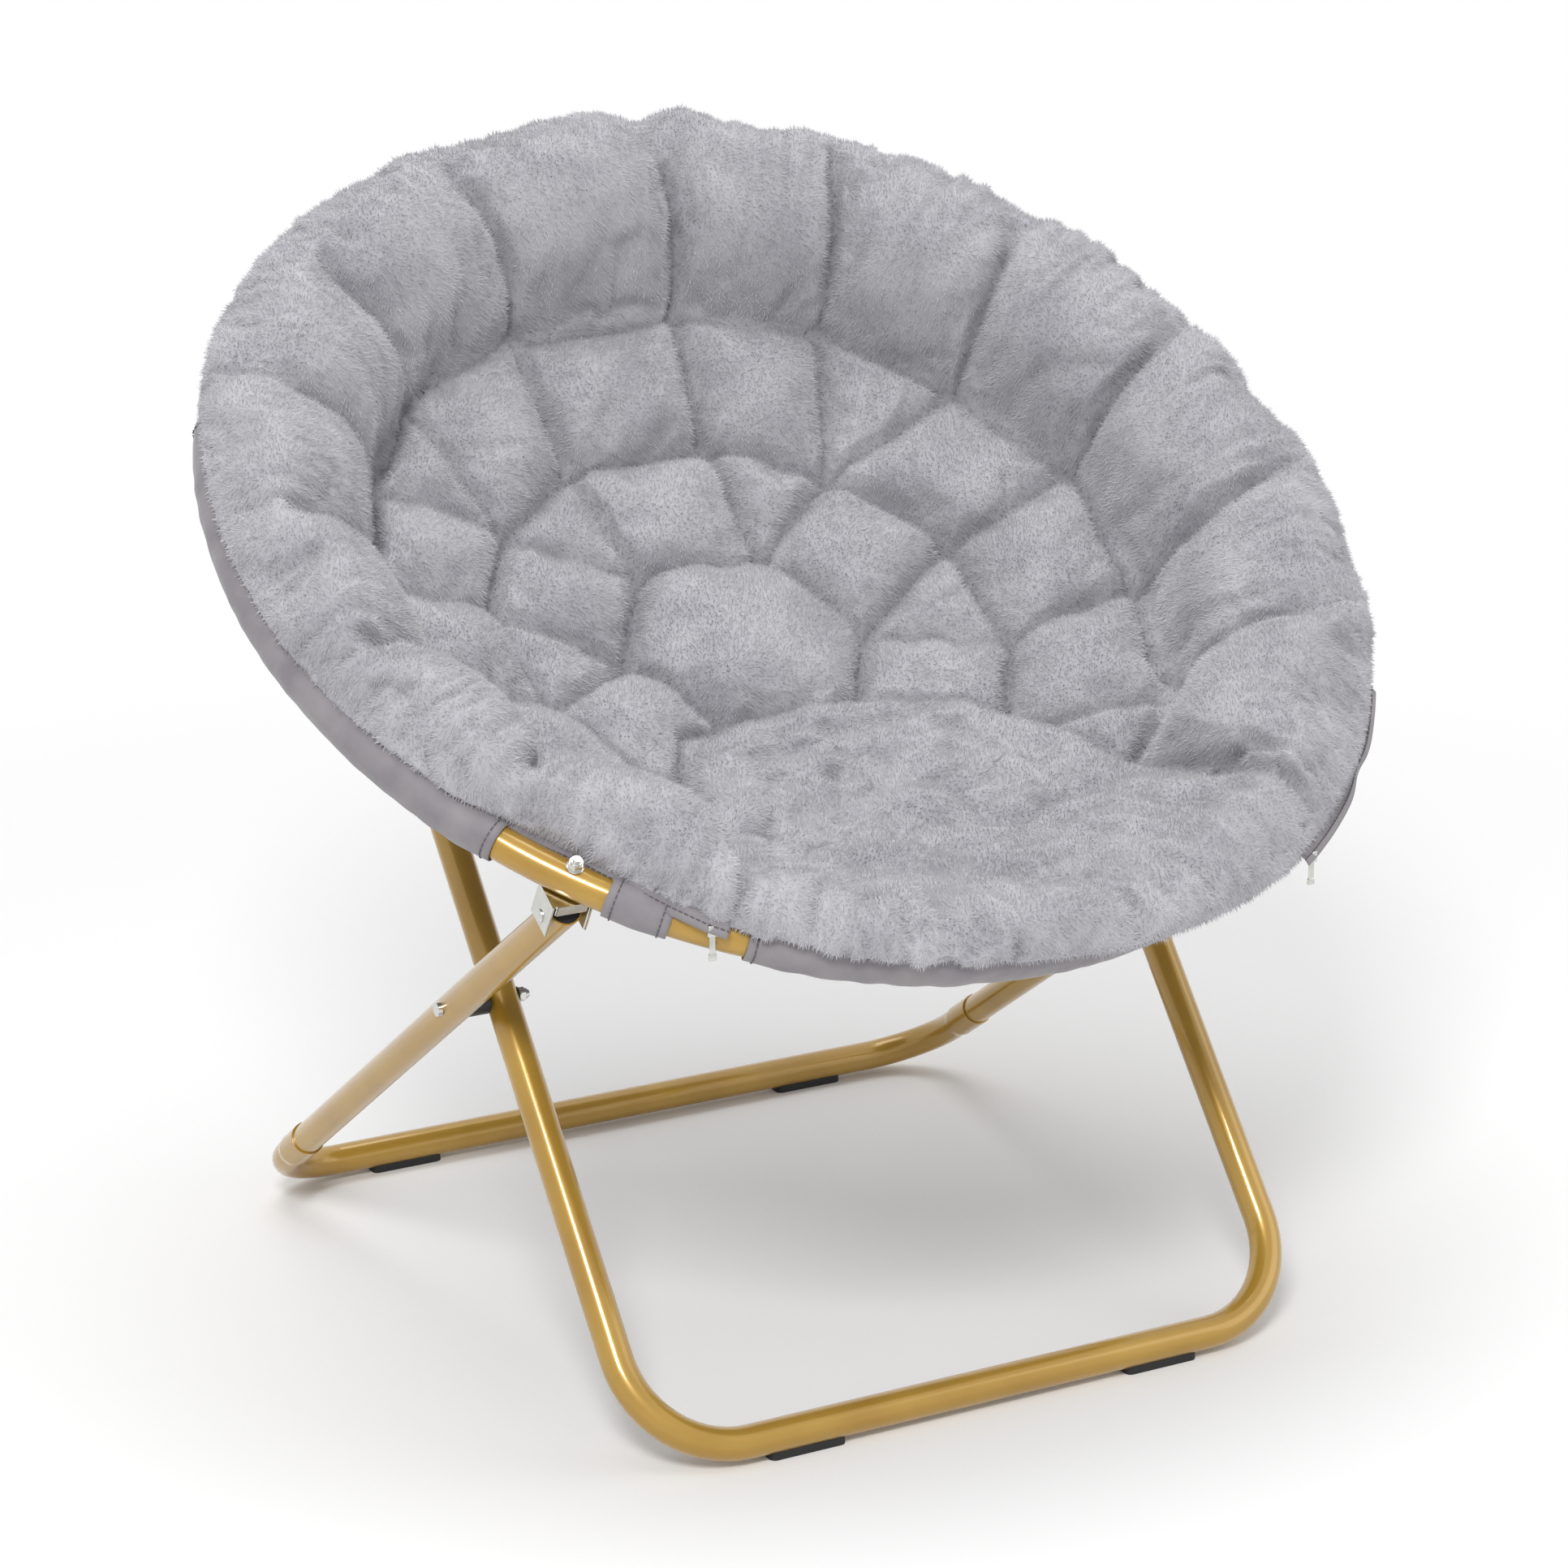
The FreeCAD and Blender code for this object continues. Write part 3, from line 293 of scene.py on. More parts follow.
def zinc_plate():
    # Bright zinc plate on pressed sheet steel: a soft mirror with cloudy
    # patches and a faint rolled grain.
    material, tree, shader = new_material("zinc_plated_steel")
    place = add(tree, "ShaderNodeTexCoord").outputs["Object"]
    cloud = grain(tree, place, 7, 4.0)
    rough = add(tree, "ShaderNodeMapRange", {
        "Value": cloud.outputs["Fac"], "To Min": 0.08, "To Max": 0.24,
    })
    tint = tone_ramp(tree, cloud.outputs["Fac"], "B9B9B3", "DCDCD8")
    rolled = grain(tree, place, 0.8, 2.0)
    relief(tree, shader, rolled.outputs["Fac"], 0.08, 0.2)
    tree.links.new(tint, shader.inputs["Base Color"])
    tree.links.new(rough.outputs["Result"], shader.inputs["Roughness"])
    shader.inputs["Metallic"].default_value = 1.0
    return material


def bright_fastener():
    # Machined and bright zinc plated screws and rivets: fine turning marks.
    material, tree, shader = new_material("bright_zinc_fastener")
    place = add(tree, "ShaderNodeTexCoord").outputs["Object"]
    marks = grain(tree, place, 0.9, 3.0)
    rough = add(tree, "ShaderNodeMapRange", {
        "Value": marks.outputs["Fac"], "To Min": 0.14, "To Max": 0.3,
    })
    tree.links.new(rough.outputs["Result"], shader.inputs["Roughness"])
    shader.inputs["Base Color"].default_value = colour("CFCFCB")
    shader.inputs["Metallic"].default_value = 1.0
    return material


def black_part(name, code, rough, grain_size):
    # Moulded black plastic or rubber: near black with a fine cast grain.
    material, tree, shader = new_material(name)
    place = add(tree, "ShaderNodeTexCoord").outputs["Object"]
    cast = grain(tree, place, grain_size, 3.0)
    relief(tree, shader, cast.outputs["Fac"], 0.2, 0.2)
    tint = tone_ramp(tree, cast.outputs["Fac"], code, "2C2C2E")
    tree.links.new(tint, shader.inputs["Base Color"])
    shader.inputs["Roughness"].default_value = rough
    return material


def oxford_cloth():
    # Woven polyester oxford: a dense basket weave, threads about 0.5 mm apart.
    # The weave is drawn at 1.1 mm, the finest that shows. A wave texture has
    # twenty bands to a unit of its scale's inverse.
    material, tree, shader = new_material("woven_polyester_oxford")
    uv = add(tree, "ShaderNodeUVMap").outputs["UV"]
    threads = {"Vector": uv, "Scale": 1 / (1.1 * MM) / 20}
    warp = add(tree, "ShaderNodeTexWave", threads, bands_direction="X")
    weft = add(tree, "ShaderNodeTexWave", threads, bands_direction="Y")
    weave = add(tree, "ShaderNodeMath", {
        0: warp.outputs["Fac"], 1: weft.outputs["Fac"],
    }, operation="MULTIPLY")
    place = add(tree, "ShaderNodeTexCoord").outputs["Object"]
    fade = grain(tree, place, 30, 3.0)
    tint = tone_ramp(tree, fade.outputs["Fac"], "78747A", "8B878A", 0.3, 0.7)
    relief(tree, shader, weave.outputs[0], 0.25, 0.3)
    tree.links.new(tint, shader.inputs["Base Color"])
    shader.inputs["Roughness"].default_value = 0.72
    shader.inputs["Sheen Weight"].default_value = 0.25
    return material


def plush(name, dark, light):
    # Polyester faux fur: short dense pile in a cool grey. The brushed patches differ a little in
    # tone, and painted shade darkens the sewn creases.
    material, tree, shader = new_material(name)
    place = add(tree, "ShaderNodeTexCoord").outputs["Object"]
    patch = grain(tree, place, 55, 4.0)
    strand = grain(tree, place, 2.2, 3.0)
    mixed = add(tree, "ShaderNodeMix", {
        0: 0.35, "A": patch.outputs["Fac"], "B": strand.outputs["Fac"],
    }, data_type="FLOAT")
    tint = tone_ramp(tree, mixed.outputs[0], dark, light, 0.36, 0.62)
    relief(tree, shader, strand.outputs["Fac"], 0.5, 1.5)
    # Painted shade: the sewn creases are darkened towards a dark grey, as shade falls in them.
    crease = add(tree, "ShaderNodeAttribute", attribute_name="crease")
    painted_crease_shade = add(tree, "ShaderNodeMapRange", {
        "Value": crease.outputs["Fac"], "From Min": 0.25, "To Max": 0.6,
    })
    shaded = add(
        tree, "ShaderNodeMix",
        {0: painted_crease_shade.outputs["Result"], 6: tint, 7: colour("66656B")}, data_type="RGBA",
    )
    tree.links.new(shaded.outputs[2], shader.inputs["Base Color"])
    shader.inputs["Roughness"].default_value = 0.9
    shader.inputs["Sheen Weight"].default_value = 0.35
    shader.inputs["Sheen Roughness"].default_value = 0.5
    shader.inputs["Specular IOR Level"].default_value = 0.2
    return material


def sewing_thread():
    # Spun polyester thread, two plies: a matt darker taupe than the cloth.
    material, tree, shader = new_material("spun_polyester_thread")
    place = add(tree, "ShaderNodeTexCoord").outputs["Object"]
    ply = grain(tree, place, 0.9, 2.0)
    tint = tone_ramp(tree, ply.outputs["Fac"], "4E494C", "6A6468")
    tree.links.new(tint, shader.inputs["Base Color"])
    shader.inputs["Roughness"].default_value = 0.8
    return material


GOLD = gold_powder_coat()
ZINC = zinc_plate()
BRIGHT = bright_fastener()
PLASTIC = black_part("moulded_black_nylon", "141416", 0.45, 0.8)
RUBBER = black_part("moulded_black_rubber", "111112", 0.75, 1.2)
CLOTH = oxford_cloth()
PLUSH = plush("faux_fur_backing", "9F9EA4", "B4B3B8")
PILE = plush("faux_fur_pile", "AEADB2", "C6C5C9")
THREAD = sewing_thread()
FINISHES = {
    "gold_paint": GOLD,
    "zinc_plate": ZINC,
    "bright_steel": BRIGHT,
    "black_plastic": PLASTIC,
    "black_rubber": RUBBER,
    "taupe_cloth": CLOTH,
    "grey_plush": PLUSH,
}


def dress_frame():
    """Gives every CAD node the finish of its material slot."""
    slots = {row["node"]: row["material_slot"] for row in frame["record"]["subparts"]}
    for name, node in frame["nodes"].items():
        node.data.materials.clear()
        node.data.materials.append(FINISHES[slots[name]])


# ---- cushion ------------------------------------------------------------


def polar(angle, radius):
    """x and s of a point at an angle in degrees from the ring's front."""
    turn = math.radians(angle)
    return radius * math.sin(turn), -radius * math.cos(turn)


def seam_network():
    """Sewn lines, as rows of x1, s1, x2, s2, and how deep each is sewn."""
    lines = []
    for radius, _, angles in TUFT_CIRCLES:
        for start, end in zip(angles, angles[1:] + angles[:1]):
            lines.append((*polar(start, radius), *polar(end, radius), SEAM_HOLD))
    for (outer, _, many), (inner, _, few) in zip(TUFT_CIRCLES, TUFT_CIRCLES[1:]):
        for angle in many:
            nearest = min(few, key=lambda other: abs((angle - other + 180) % 360 - 180))
            lines.append((*polar(angle, outer), *polar(nearest, inner), SPOKE_HOLD))
    return np.array(lines)


def rim_creases():
    """Creases that run out from the outer tufts over the rim roll."""
    radius, _, angles = TUFT_CIRCLES[0]
    return np.array([
        (*polar(angle, radius), *polar(angle + 3, radius + RIM_CREASE_LENGTH), 1.0)
        for angle in angles
    ])


def tufts():
    return np.array([
        polar(angle, radius) for radius, _, angles in TUFT_CIRCLES for angle in angles
    ])


def pillow(gap, reach):
    """Rounded rise beside a seam: 0 on the seam and 1 at the reach from it."""
    return np.sqrt(1 - (1 - np.clip(gap / reach, 0, 1)) ** 2)


def distance_to_lines(x, s, lines):
    """Distance of points to the nearest line, weaker lines counting as further."""
    best = np.full(x.shape, 1.0)
    for x1, s1, x2, s2, depth in lines:
        dx, ds = x2 - x1, s2 - s1
        t = np.clip(((x - x1) * dx + (s - s1) * ds) / (dx * dx + ds * ds), 0, 1)
        gap = np.hypot(x - x1 - t * dx, s - s1 - t * ds)
        best = np.minimum(best, gap + (1 - depth) * 0.02)
    return best


def inside_panel(x, s):
    """Signed distance to the front panel's outline, positive inside."""
    outline = np.array(PANEL_OUTLINE)
    gap = np.full(x.shape, 1.0)
    for (x1, s1), (x2, s2) in zip(outline, outline[1:]):
        dx, ds = x2 - x1, s2 - s1
        t = np.clip(((x - x1) * dx + (s - s1) * ds) / (dx * dx + ds * ds), 0, 1)
        gap = np.minimum(gap, np.hypot(x - x1 - t * dx, s - s1 - t * ds))
    edge = np.interp(x, outline[:, 0], outline[:, 1], left=-1, right=-1)
    inside = (s < edge) & (x > outline[0, 0]) & (x < outline[-1, 0])
    # Forward of the outline's ends the panel runs out over the ring.
    left = outline[0, 0] - (outline[0, 1] - s) * 0.4
    right = outline[-1, 0] + (outline[-1, 1] - s) * 0.4
    forward = (s < outline[0, 1]) & (x > left) & (x < right)
    return np.where(inside | forward, gap, -gap)


def ripple(values, scale, seed):
    """Smooth noise at points given as rows of coordinates, from -1 to 1."""
    shift = Vector((seed * 7.3, seed * 3.1, seed * 5.7))
    return np.array([noise.noise(Vector(v) / scale + shift) for v in values])


def on_ground(x, s):
    """Rows of coordinates of places in the ring's plane."""
    return np.stack([x, s, np.zeros_like(x)], 1)


def wander_off(x, s):
    """Places moved a little, so that straight sewn lines run unevenly."""
    ground = on_ground(x, s)
    return x + 0.008 * ripple(ground, 0.10, 4), s + 0.008 * ripple(ground, 0.10, 5)


def sling_height(radius, offset=0.0):
    """Height of the cloth bowl below the ring plane, raised by an offset."""
    drop = SLING_DEPTH - SLING_RIM_DROP
    sphere = (SLING_RIM ** 2 + drop ** 2) / (2 * drop)
    inner = sphere - offset
    return sphere - SLING_DEPTH - np.sqrt(np.maximum(inner ** 2 - radius ** 2, 0))


def cushion_top(x, s, radius):
    """Height of the sewn, filled top of the cushion."""
    share = np.minimum(radius / RING_RADIUS, 1)
    circles = TUFT_CIRCLES[::-1]
    radii = [0.0] + [row[0] for row in circles]
    heights = [CENTRE_HEIGHT] + [row[1] for row in circles]
    sewn = np.interp(radius, radii, heights)
    # No two seams run quite straight, and the filling is never quite even.
    uneven = 1 + 0.35 * ripple(on_ground(x, s), 0.07, 6)
    x, s = wander_off(x, s)
    seams = distance_to_lines(x, s, seam_network())
    deep = np.min([np.hypot(x - tx, s - ts) for tx, ts in tufts()], axis=0)
    dimple = TUFT_DIMPLE * np.exp(-(deep / TUFT_DIMPLE) ** 2)
    body = sewn + PUFF * uneven * pillow(seams, PUFF_REACH) - dimple
    # The rim roll rises steeply from the outer tufts and rounds over.
    foot, low, _ = TUFT_CIRCLES[0]
    out = np.clip((radius - foot) / (CREST_RADIUS - foot), 0, 1)
    rise = (1 - (1 - out) ** ROLL_POWER) ** (1 / ROLL_POWER)
    roll = low + (RIM_CREST - RIM_FOLD * 0.5 - low) * rise
    creases = pillow(distance_to_lines(x, s, rim_creases()), RIM_CREASE_REACH)
    roll += RIM_FOLD * uneven * creases * np.clip(out * 4, 0, 1) - RIM_FOLD * 0.5 * (1 - out)
    body = np.where(radius > foot, np.maximum(roll, low - 0.012), body)
    # The front panel lies over the bowl with a padded edge of its own.
    base = -BOWL_DEPTH * (1 - share ** 2) + RIM_CREST * share ** 6
    panel = inside_panel(x, s)
    flat = CENTRE_HEIGHT * (1 - share ** 2.4) + 0.012 + 0.020 * share ** 8
    edge = PANEL_PAD * pillow(np.maximum(panel, 0), PANEL_PAD_REACH)
    edge = edge - 0.012 * np.clip(panel / 0.12, 0, 1)
    ground = on_ground(x, s)
    lumps = 0.008 * ripple(ground, 0.060, 7) + 0.004 * ripple(ground, 0.026, 8)
    tucked = np.clip(2 * ripple(ground, 0.10, 9) + 0.5, 0, 1)
    tuck = 0.010 * np.exp(-((panel - 0.052) / 0.008) ** 2) * tucked
    cover = np.maximum(base + 0.004, flat) + edge + (lumps - tuck) * np.clip(panel / 0.03, 0, 1)
    seam = PANEL_SEAM * np.exp(-(np.abs(panel) / 0.006) ** 2)
    front = np.clip(panel / 0.004 + 0.5, 0, 1)
    return body * (1 - front) + cover * front - seam


def build_cushion_shape():
    """Closed cushion as one mesh: top, rolled edge and hidden underside."""
    turn = np.linspace(0, 2 * math.pi, TURNS, endpoint=False)
    angle = np.degrees(np.where(turn > math.pi, turn - 2 * math.pi, turn))
    edge_radius = np.interp(angle, EDGE_DEGREES, EDGE_RADIUS)
    edge_height = np.interp(angle, EDGE_DEGREES, EDGE_HEIGHT)
    edge_turn = np.radians(np.interp(angle, EDGE_DEGREES, EDGE_TURN))
    crest = np.minimum(CREST_RADIUS, edge_radius - 0.022)
    rim = cushion_top(crest * np.sin(turn), -crest * np.cos(turn), crest)
    rows = []
    for share in np.linspace(0.0, 1.0, TOP_RINGS):
        radius = crest * share
        x, s = radius * np.sin(turn), -radius * np.cos(turn)
        rows.append((x, s, cushion_top(x, s, radius)))
    for k in range(1, SKIRT + 1):
        a = k / SKIRT * edge_turn
        radius = crest + (edge_radius - crest) * np.sin(a)
        height = rim - (rim - edge_height) * (1 - np.cos(a))
        rows.append((radius * np.sin(turn), -radius * np.cos(turn), height))
    for radius in np.linspace(SLING_RIM - 0.004, 0.0, UNDER_RINGS):
        height = np.full(TURNS, sling_height(radius, 0.0025))
        rows.append((radius * np.sin(turn), -radius * np.cos(turn), height))
    verts = np.concatenate([to_world(*row) for row in rows])
    item = mesh_object("cushion_body", verts, grid_faces(len(rows), TURNS, wrap=True))
    return clean_normals(item)


def ring_coordinates(points):
    """x, s and w of world places, one row each."""
    offset = points - np.array(RING_CENTRE)
    return offset[:, 0], offset @ np.array(ALONG), offset @ np.array(ABOVE)


def vertices_of(item):
    places = np.empty(len(item.data.vertices) * 3)
    item.data.vertices.foreach_get("co", places)
    return places.reshape(-1, 3)


def numbers_of(item, label):
    """Values of a named attribute, one for each vertex."""
    values = np.empty(len(item.data.vertices))
    item.data.attributes[label].data.foreach_get("value", values)
    return values


def set_vertices(item, places):
    item.data.vertices.foreach_set("co", places.ravel())
    item.data.update()


def sewn_share(x, s, w):
    """How firmly each point is held: 1 on a seam, a tuft or the underside."""
    radius = np.hypot(x, s)
    lines = np.concatenate([seam_network(), rim_creases()])
    seams = distance_to_lines(*wander_off(x, s), lines)
    seams = np.minimum(seams, np.abs(inside_panel(x, s)))
    held = np.clip(1.5 - seams / 0.006, 0, 1)
    hidden = w < sling_height(np.minimum(radius, SLING_RIM - 0.002), 0.012)
    edge = (radius > SLING_RIM) & (w < 0.012)
    return np.where(hidden | edge, 1.0, held)


def fill_with_air(item):
    """Cloth simulation: the cover swells between its seams and creases."""
    item.modifiers.new("even_mesh", "REMESH").voxel_size = VOXEL
    apply_modifiers(item)
    start = vertices_of(item)
    held = sewn_share(*ring_coordinates(start))
    group = item.vertex_groups.new(name="sewn")
    for index, share in enumerate(held):
        if share > 0:
            group.add([index], float(share), "REPLACE")
    cloth = item.modifiers.new("cover", "CLOTH")
    settings = cloth.settings
    settings.quality = 5
    settings.mass = 0.3
    settings.tension_stiffness = settings.compression_stiffness = 10
    settings.shear_stiffness = 4
    settings.bending_stiffness = 0.4
    settings.use_pressure = True
    settings.uniform_pressure_force = 4.0
    settings.shrink_min = -0.07
    settings.vertex_group_mass = "sewn"
    settings.pin_stiffness = 1.0
    settings.effector_weights.gravity = 0.0
    cloth.collision_settings.use_self_collision = False
    cloth.collision_settings.use_collision = False
    scene = bpy.context.scene
    cloth.point_cache.frame_end = SWELL_FRAMES
    for step in range(1, SWELL_FRAMES + 1):
        scene.frame_set(step)
    apply_modifiers(item)
    scene.frame_set(1)
    item.vertex_groups.clear()
    moved = vertices_of(item) - start
    length = np.linalg.norm(moved, axis=1)
    share = np.minimum(1, SWELL_LIMIT / np.maximum(length, 1e-9))
    set_vertices(item, start + moved * share[:, None])


def gather_folds(item):
    """Folds where the cover is gathered to the rim, and slack wrinkles."""
    places = vertices_of(item)
    x, s, w = ring_coordinates(places)
    radius = np.hypot(x, s)
    angle = np.arctan2(x, -s)
    rim = np.clip((radius - 0.30) / 0.11, 0, 1) * (w > -0.12)
    lines = np.concatenate([seam_network(), rim_creases()])
    panel = inside_panel(x, s)
    x_sewn, s_sewn = wander_off(x, s)
    gap = np.where(panel > 0.004, 1.0, distance_to_lines(x_sewn, s_sewn, lines))
    gap = np.minimum(gap, np.abs(panel) + 0.001)
    # The creases fade out before the crest, where the cover bends most.
    crease = np.exp(-gap / CREASE_WIDTH) * np.clip((0.408 - radius) / 0.02, 0, 1)
    wander = ripple(np.stack([x, s, w], 1), 0.09, 1)
    along = np.stack([(angle * RING_RADIUS + 0.010 * wander), radius * 0.22, w * 0.3], 1)
    folds = 1 - 2 * np.abs(ripple(along, 0.017, 2))
    broad = ripple(np.stack([x, s, w], 1), 0.06, 3)
    top = w > sling_height(np.minimum(radius, SLING_RIM), 0.012)
    wrinkles = 1 - 2 * np.abs(ripple(np.stack([x * 0.6, s * 1.5, w * 0], 1), 0.042, 7))
    slack = np.clip((panel - 0.012) / 0.03, 0, 1) * np.clip((s + 0.40) / 0.12, 0, 1)
    depth = rim * FOLD_DEPTH * (folds - 0.5) + SWELL_DEPTH * broad - CREASE_DEPTH * crease
    depth += WRINKLE_DEPTH * slack * (wrinkles - 0.3)
    normals = np.empty(len(item.data.vertices) * 3)
    item.data.vertices.foreach_get("normal", normals)
    places += normals.reshape(-1, 3) * (depth * top)[:, None]
    set_vertices(item, places)
    # The crease share is kept as an attribute: it thins the pile and paints shade into the
    # creases.
    mark = item.data.attributes.new("crease", "FLOAT", "POINT")
    mark.data.foreach_set("value", (crease * top).astype(np.float32))


def halve_at_hinge(item, name, rear):
    """Closed part of a piece ahead of, or behind, the ring hinges' line."""
    half = item.copy()
    half.data = item.data.copy()
    half.name = half.data.name = name
    bpy.context.scene.collection.objects.link(half)
    bm = bmesh.new()
    bm.from_mesh(half.data)
    cut = bmesh.ops.bisect_plane(
        bm, geom=bm.verts[:] + bm.edges[:] + bm.faces[:],
        plane_co=RING_CENTRE + ALONG * HINGE_S, plane_no=ALONG,
        clear_inner=rear, clear_outer=not rear,
    )
    edges = [e for e in cut["geom_cut"] if isinstance(e, bmesh.types.BMEdge)]
    bmesh.ops.holes_fill(bm, edges=edges, sides=0)
    bmesh.ops.triangulate(bm, faces=[f for f in bm.faces if len(f.verts) > 4])
    bmesh.ops.recalc_face_normals(bm, faces=bm.faces)
    bm.to_mesh(half.data)
    bm.free()
    half.data.shade_smooth()
    return half


def pile_tree():
    """Short fur: tapered strands scattered over the skin and brushed about."""
    tree = bpy.data.node_groups.new("pile", "GeometryNodeTree")
    socket = tree.interface.new_socket
    socket("Skin", in_out="INPUT", socket_type="NodeSocketGeometry")
    sizes = (("Density", PILE_DENSITY), ("Length", PILE_LENGTH), ("Width", PILE_WIDTH))
    for label, start in sizes:
        socket(label, in_out="INPUT", socket_type="NodeSocketFloat").default_value = start
    socket("Finish", in_out="INPUT", socket_type="NodeSocketMaterial")
    socket("Pile", in_out="OUTPUT", socket_type="NodeSocketGeometry")
    given = add(tree, "NodeGroupInput")
    sector = add(
        tree, "GeometryNodeInputNamedAttribute", {"Name": "pile_here"}, data_type="FLOAT"
    )
    density = add(tree, "ShaderNodeMath", {
        0: given.outputs["Density"], 1: sector.outputs["Attribute"],
    }, operation="MULTIPLY")
    scatter = add(tree, "GeometryNodeDistributePointsOnFaces", {
        "Mesh": given.outputs["Skin"], "Density": density.outputs[0], "Seed": 4,
    })
    strand = add(tree, "GeometryNodeMeshCone", {
        "Vertices": 3, "Side Segments": 1, "Radius Top": 0.0,
        "Radius Bottom": given.outputs["Width"], "Depth": given.outputs["Length"],
    }, fill_type="NONE")
    place = add(tree, "GeometryNodeInputPosition")
    brushed = add(tree, "ShaderNodeTexNoise", {
        "Vector": place.outputs[0], "Scale": 1 / 0.085, "Detail": 1.0,
    })
    centred = add(tree, "ShaderNodeVectorMath", {
        0: brushed.outputs["Color"], 1: (0.5, 0.5, 0.62),
    }, operation="SUBTRACT")
    swept = add(tree, "ShaderNodeVectorMath", {
        0: centred.outputs[0], "Scale": 1.8,
    }, operation="SCALE")
    leaning = add(tree, "ShaderNodeVectorMath", {
        0: scatter.outputs["Normal"], 1: swept.outputs[0],
    }, operation="ADD")
    turned = add(
        tree, "FunctionNodeAlignRotationToVector", {"Vector": leaning.outputs[0]}, axis="Z"
    )
    jitter = add(tree, "FunctionNodeRandomValue", {
        "Min": (-0.4, -0.4, -0.4), "Max": (0.4, 0.4, 0.4), "Seed": 9,
    }, data_type="FLOAT_VECTOR")
    spun = add(tree, "FunctionNodeRotateRotation", {
        "Rotation": turned.outputs[0], "Rotate By": jitter.outputs[0],
    }, rotation_space="LOCAL")
    sizes = add(
        tree, "FunctionNodeRandomValue", {"Min": 0.7, "Max": 1.25, "Seed": 5}, data_type="FLOAT"
    )
    strands = add(tree, "GeometryNodeInstanceOnPoints", {
        "Points": scatter.outputs["Points"], "Instance": strand.outputs["Mesh"],
        "Rotation": spun.outputs[0], "Scale": sizes.outputs["Value"],
    })
    whole = add(tree, "GeometryNodeRealizeInstances", {"Geometry": strands.outputs[0]})
    finished = add(tree, "GeometryNodeSetMaterial", {
        "Geometry": whole.outputs[0], "Material": given.outputs["Finish"],
    })
    add(tree, "NodeGroupOutput", {"Pile": finished.outputs[0]})
    return tree


def set_input(modifier, label, value):
    """Sets a Geometry Nodes modifier's input by the socket's identifier."""
    sockets = modifier.node_group.interface.items_tree
    found = next(i for i in sockets if i.name == label and i.in_out == "INPUT")
    modifier[found.identifier] = value


def grow_pile(skin, name, tree, chosen):
    """Fur on the chosen vertices' share of a cushion part, as its own piece."""
    item = skin.copy()
    item.data = skin.data.copy()
    item.name = item.data.name = name
    bpy.context.scene.collection.objects.link(item)
    here = item.data.attributes.new("pile_here", "FLOAT", "POINT")
    here.data.foreach_set("value", chosen.astype(np.float32))
    modifier = item.modifiers.new("pile", "NODES")
    modifier.node_group = tree
    set_input(modifier, "Density", PILE_DENSITY)
    set_input(modifier, "Length", PILE_LENGTH)
    set_input(modifier, "Width", PILE_WIDTH)
    set_input(modifier, "Finish", PILE)
    return apply_modifiers(item)


def soft_ride(item, body):
    """Soft pieces ride a body, each with a mesh of its own."""
    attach(item, body)
    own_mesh(item)


def build_cushion():
    """Cushion halves with their fur, each on its own part of the ring."""
    shape = build_cushion_shape()
    fill_with_air(shape)
    shape.modifiers.new("smoother", "SUBSURF").levels = 1
    apply_modifiers(shape)
    gather_folds(shape)
    shape.data.materials.append(PLUSH)
    tree = pile_tree()
    for name, rear, body in (
        ("cushion_front", False, "ring_front"), ("cushion_back", True, "ring_rear"),
    ):
        part = halve_at_hinge(shape, name, rear)
        x, s, w = ring_coordinates(vertices_of(part))
        radius = np.hypot(x, s)
        skin = w > sling_height(np.minimum(radius, SLING_RIM), 0.010)
        skin |= radius > SLING_RIM
        # Fewer strands grow in the creases, so their painted shade shows.
        skin = skin * (1 - 0.9 * numbers_of(part, "crease"))
        if rear:
            sectors = {"pile_back": skin}
        else:
            sectors = {
                "pile_left": skin * (x < -PILE_SPLIT_X),
                "pile_middle": skin * (np.abs(x) <= PILE_SPLIT_X),
                "pile_right": skin * (x > PILE_SPLIT_X),
            }
        for label, chosen in sectors.items():
            pile = grow_pile(part, label, tree, chosen)
            soft_ride(pile, body)
            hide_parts("cushion")
        soft_ride(part, body)
        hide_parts("cushion")
    bpy.data.objects.remove(shape)


# ---- cloth --------------------------------------------------------------


def make_cloth(item, thickness, offset):
    """Gives a surface the cloth's thickness and finish."""
    clean_normals(item)
    solid = item.modifiers.new("cloth", "SOLIDIFY")
    solid.thickness = thickness
    solid.offset = offset
    item.data.materials.append(CLOTH)
    return apply_modifiers(item)


def cloth_tube(name, start, end, slack, sag, seed):
    """Sewn cloth sleeve on the ring between two angles, loose and sagging."""
    length = math.radians(end - start) * RING_RADIUS
    rows = max(8, int(length / 0.004))
    around = 40
    points, uv = [], []
    for i in range(rows + 1):
        share = i / rows
        angle = math.radians(start + (end - start) * share)
        near = min(share, 1 - share) * length
        for j in range(around):
            turn = 2 * math.pi * j / around
            fold = noise.noise(Vector((angle * RING_RADIUS / 0.016, turn * 0.8, seed)))
            hang = max(0.0, -math.sin(turn)) ** 2
            loose = slack * min(near / 0.03, 1.0)
            radius = TUBE_RADIUS + 0.0014 + loose * (0.35 * hang + 0.16 * (fold + 0.7))
            r = RING_RADIUS + radius * math.cos(turn)
            drop = sag * hang * min(near / 0.14, 1.0) ** 1.5 * (1 + 0.3 * fold)
            w = radius * math.sin(turn) - drop
            points.append(to_world(r * math.sin(angle), -r * math.cos(angle), w))
            uv.append((share * length, turn * TUBE_RADIUS))
    item = mesh_object(name, points, grid_faces(rows + 1, around, wrap=True), uv)
    make_cloth(item, SLEEVE_CLOTH, 1.0)
    return item, (length, 2 * math.pi * (TUBE_RADIUS + 0.002))


